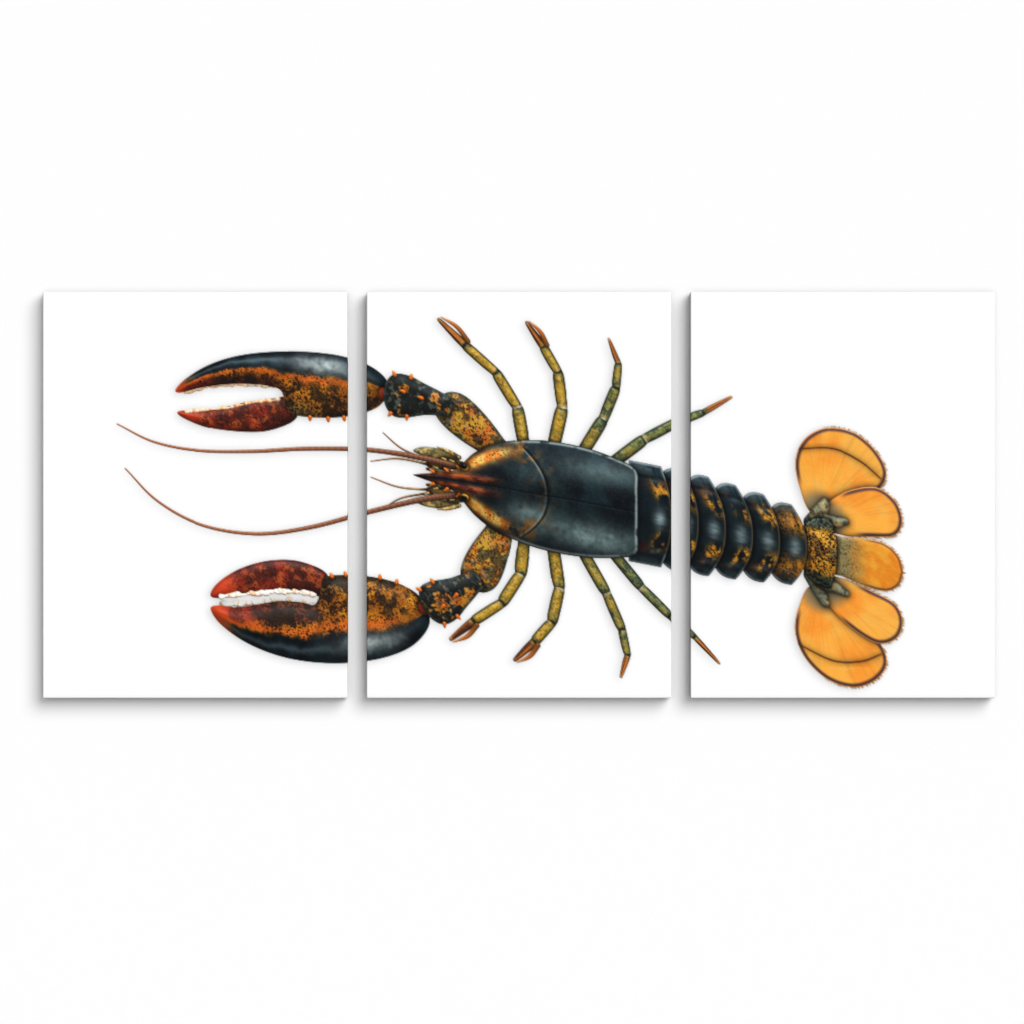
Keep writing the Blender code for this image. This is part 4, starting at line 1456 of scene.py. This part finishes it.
def staple_spots(wrap, look, flap):
    """(x, z, turn) of each staple round a panel's back."""
    chance = np.random.default_rng(PANELS.index(wrap.panel) + 5)
    in_x = wrap.half_x - flap * 0.45
    in_z = wrap.half_z - flap * 0.45
    count_x = int((wrap.half_x - flap * 1.6) / look.staple_spacing)
    count_z = int((wrap.half_z - flap * 1.6) / look.staple_spacing)
    spots = []
    for side in (-1, 1):
        spots += [(n * look.staple_spacing, side * in_z, 0.0) for n in range(-count_x, count_x + 1)]
        spots += [(side * in_x, n * look.staple_spacing, math.pi / 2) for n in range(-count_z, count_z + 1)]
    for side_x in (-1, 1):
        for side_z in (-1, 1):
            turn = side_x * side_z * math.pi / 4
            spots.append((side_x * (in_x - 0.004), side_z * (in_z - 0.002), turn))
    shake = chance.normal(0, 1, (len(spots), 3)) * (0.0012, 0.0008, 0.07)
    return [tuple(np.add(spot, off)) for spot, off in zip(spots, shake)]


class CANVASPRINT_OT_staples(bpy.types.Operator):
    """Staple the flaps to the backs of the bars"""

    bl_idname = "canvas_print.staples"
    bl_label = "Staples"

    def execute(self, context):
        look = context.scene.fitting_look
        cloth = context.scene.canvas_look
        material = steel_material(look, "staple steel", 0.30)
        for panel in PANELS:
            wrap = Wrap(panel)
            bm = bmesh.new()
            for x, z, turn in staple_spots(wrap, look, cloth.flap):
                place = Matrix.Translation((wrap.centre.x + x, wrap.back + look.staple_wire, z))
                spin = Matrix.Rotation(turn, 4, "Y")
                bent_wire(bm, staple_path(look), look.staple_wire, place @ spin)
            piece = add_piece(f"{panel}_staples", bm, (material,))
            piece.data.shade_smooth()
        return {"FINISHED"}


class CANVASPRINT_OT_fasteners(bpy.types.Operator):
    """Set a corrugated fastener across each mitre"""

    bl_idname = "canvas_print.fasteners"
    bl_label = "Mitre fasteners"

    def execute(self, context):
        look = context.scene.fitting_look
        flap = context.scene.canvas_look.flap
        material = steel_material(look, "fastener steel", 0.38)
        for panel in PANELS:
            wrap = Wrap(panel)
            bm = bmesh.new()
            middle = (flap + BAR_SPAN) / 2
            for side_x in (-1, 1):
                for side_z in (-1, 1):
                    spot = (
                        wrap.centre.x + side_x * (wrap.half_x - middle),
                        BAR_BACK_Y,
                        side_z * (wrap.half_z - middle),
                    )
                    corrugated_strip(bm, look, spot, side_x * side_z * math.pi / 4)
            piece = add_piece(f"{panel}_mitre_fasteners", bm, (material,))
            piece.data.shade_smooth()
            piece.data.set_sharp_from_angle(angle=math.radians(50))
        return {"FINISHED"}


def corrugated_strip(bm, look, spot, turn):
    """A wavy steel strip, driven in until it stands a little proud."""
    half = look.fastener / 2
    steps = 40
    line = []
    for step in range(steps + 1):
        x = -half + 2 * half * step / steps
        line.append(bm.verts.new((x, -look.fastener / 5,
                                  look.fastener / 12 * math.sin(8 * math.pi * step / steps))))
    edges = [bm.edges.new(pair) for pair in zip(line, line[1:])]
    grown = bmesh.ops.extrude_edge_only(bm, edges=edges)["geom"]
    top = [item for item in grown if isinstance(item, bmesh.types.BMVert)]
    bmesh.ops.translate(bm, verts=top, vec=(0, look.fastener / 5 + 0.4 * MM, 0))
    faces = [item for item in grown if isinstance(item, bmesh.types.BMFace)]
    thick = bmesh.ops.solidify(bm, geom=faces, thickness=0.5 * MM)["geom"]
    verts = list({v for f in faces for v in f.verts}
                 | {i for i in thick if isinstance(i, bmesh.types.BMVert)})
    bmesh.ops.recalc_face_normals(bm, faces=list({f for v in verts for f in v.link_faces}))
    place = Matrix.Translation(spot) @ Matrix.Rotation(turn, 4, "Y")
    bmesh.ops.transform(bm, matrix=place, verts=verts)


# wood and fittings


class CANVASPRINT_OT_woodwork(bpy.types.Operator):
    """Give the stretcher bars their pine"""

    bl_idname = "canvas_print.woodwork"
    bl_label = "Stretcher bars"

    def execute(self, context):
        look = context.scene.fitting_look
        level = pine_material(look, "X")
        upright = pine_material(look, "Z")
        for panel in PANELS:
            for side in ("top", "bottom"):
                dress(f"{panel}_bar_{side}", level)
            for side in ("left", "right"):
                dress(f"{panel}_bar_{side}", upright)
        return {"FINISHED"}


class CANVASPRINT_OT_fittings(bpy.types.Operator):
    """Give the hangers, nails and wall pads their finish"""

    bl_idname = "canvas_print.fittings"
    bl_label = "Hangers and pads"

    def execute(self, context):
        look = context.scene.fitting_look
        plate = steel_material(look, "hanger steel", 0.28)
        nail = steel_material(look, "nail steel", 0.22)
        pad = felt_material(look)
        for panel in PANELS:
            dress(f"{panel}_hanger", plate)
            for number in (1, 2):
                dress(f"{panel}_nail_{number}", nail)
                dress(f"{panel}_pad_{number}", pad)
        return {"FINISHED"}


# stage


def wall_material(look):
    """Plain white that only its front shows, so that the backs can be looked at."""
    material, nodes, shader = new_material("wall white", 0.9)
    shader.inputs["Base Color"].default_value = (*look.wall, 1)
    shader.inputs["Specular IOR Level"].default_value = 0.1
    clear = nodes.add("BsdfTransparent")
    facing = nodes.add("NewGeometry").outputs["Backfacing"]
    shown = nodes.add("MixShader", {0: facing, 1: shader.outputs[0], 2: clear.outputs[0]})
    output = material.node_tree.nodes["Material Output"]
    nodes.feed(output.inputs["Surface"], shown.outputs[0])
    return material


def build_wall(look):
    """A wall that curves into the floor, as one swept surface."""
    bm = bmesh.new()
    wall_y, top, foot, cove, reach, half = 1.0 * MM, 2.2, -1.45, 0.25, 60.0, 40.0
    turns = [math.radians(90 * n / 12) for n in range(13)]
    arc = [(wall_y - cove + cove * math.cos(t), foot + cove - cove * math.sin(t)) for t in turns]
    profile = [(wall_y, top), *arc, (wall_y - reach, foot)]
    line = [bm.verts.new((half, y, z)) for y, z in profile]
    edges = [bm.edges.new(pair) for pair in zip(line, line[1:])]
    grown = bmesh.ops.extrude_edge_only(bm, edges=edges)["geom"]
    far = [item for item in grown if isinstance(item, bmesh.types.BMVert)]
    bmesh.ops.translate(bm, verts=far, vec=(-2 * half, 0, 0))
    bmesh.ops.recalc_face_normals(bm, faces=bm.faces)
    if min(bm.faces, key=lambda face: face.normal.y).normal.y > -0.5:
        bmesh.ops.reverse_faces(bm, faces=bm.faces)
    mesh = bpy.data.meshes.new("wall_and_floor")
    bm.to_mesh(mesh)
    bm.free()
    mesh.materials.append(wall_material(look))
    wall = bpy.data.objects.new("wall_and_floor", mesh)
    bpy.context.scene.collection.objects.link(wall)
    mesh.shade_smooth()
    wall.visible_shadow = False
    wall.visible_glossy = False


def build_world(look):
    """A dim even sky; the camera and glossy surfaces see a white surround instead."""
    world = bpy.data.worlds.new("even light")
    world.use_nodes = True
    nodes = Nodes(world.node_tree)
    sky = world.node_tree.nodes["Background"]
    sky.inputs["Color"].default_value = (1, 1, 1, 1)
    ray = nodes.add("LightPath").outputs
    seen = nodes.math("MAXIMUM", ray["Is Camera Ray"], ray["Is Glossy Ray"])
    strength = nodes.add("MapRange", {"Value": seen, "To Min": look.sky, "To Max": look.surround})
    nodes.feed(sky.inputs["Strength"], strength.outputs[0])
    return world


def add_sun(name, strength, towards, spread):
    """A wide sun that lights what the camera sees and isn't passed on by white surfaces."""
    sun = bpy.data.lights.new(name, "SUN")
    sun.energy = strength
    sun.angle = math.radians(spread)
    sun.cycles.max_bounces = 0
    lamp = bpy.data.objects.new(name, sun)
    bpy.context.scene.collection.objects.link(lamp)
    lamp.rotation_euler = Vector(towards).to_track_quat("-Z", "Y").to_euler()


class CANVASPRINT_OT_stage(bpy.types.Operator):
    """Set the wall, the floor, the light and the camera"""

    bl_idname = "canvas_print.stage"
    bl_label = "Wall, light and camera"

    def execute(self, context):
        scene = context.scene
        look = scene.stage_look
        build_wall(look)
        scene.world = build_world(look)
        add_sun("key", look.key, (-0.5, 1, -0.5), 40)
        add_sun("fill", look.fill, (0, 1, 0), 36)
        add_sun("back light", look.back, (-0.45, -1, -0.6), 14)
        lens = bpy.data.cameras.new("camera")
        lens.sensor_width = 36
        lens.lens = look.lens
        lens.clip_start = 0.05
        lens.clip_end = 200
        camera = bpy.data.objects.new("camera", lens)
        scene.collection.objects.link(camera)
        away = look.view_width * look.lens / lens.sensor_width
        camera.location = (look.view_x, CAD_BOX[0].y - away, look.view_z)
        camera.rotation_euler = (math.pi / 2, 0, 0)
        scene.camera = camera
        scene.view_settings.view_transform = "Standard"
        return {"FINISHED"}


OPERATORS = (
    CANVASPRINT_OT_canvases,
    CANVASPRINT_OT_staples,
    CANVASPRINT_OT_fasteners,
    CANVASPRINT_OT_woodwork,
    CANVASPRINT_OT_fittings,
    CANVASPRINT_OT_stage,
)


class CANVASPRINT_PT_sidebar(bpy.types.Panel):
    """The steps that build the canvas print"""

    bl_label = "Canvas Print"
    bl_idname = "CANVASPRINT_PT_sidebar"
    bl_space_type = "VIEW_3D"
    bl_region_type = "UI"
    bl_category = "Canvas Print"

    def draw(self, context):
        for operator in OPERATORS:
            self.layout.operator(operator.bl_idname)


LOOKS = {"canvas_look": CanvasLook, "fitting_look": FittingLook, "stage_look": StageLook}


def register():
    for kind in (*LOOKS.values(), *OPERATORS, CANVASPRINT_PT_sidebar):
        bpy.utils.register_class(kind)
    for name, kind in LOOKS.items():
        setattr(bpy.types.Scene, name, bpy.props.PointerProperty(type=kind))


def unregister():
    for name in LOOKS:
        delattr(bpy.types.Scene, name)
    for kind in (CANVASPRINT_PT_sidebar, *OPERATORS, *LOOKS.values()):
        bpy.utils.unregister_class(kind)


def main():
    register()
    for operator in OPERATORS:
        group, name = operator.bl_idname.split(".")
        getattr(getattr(bpy.ops, group), name)()


if __name__ == "__main__":
    main()
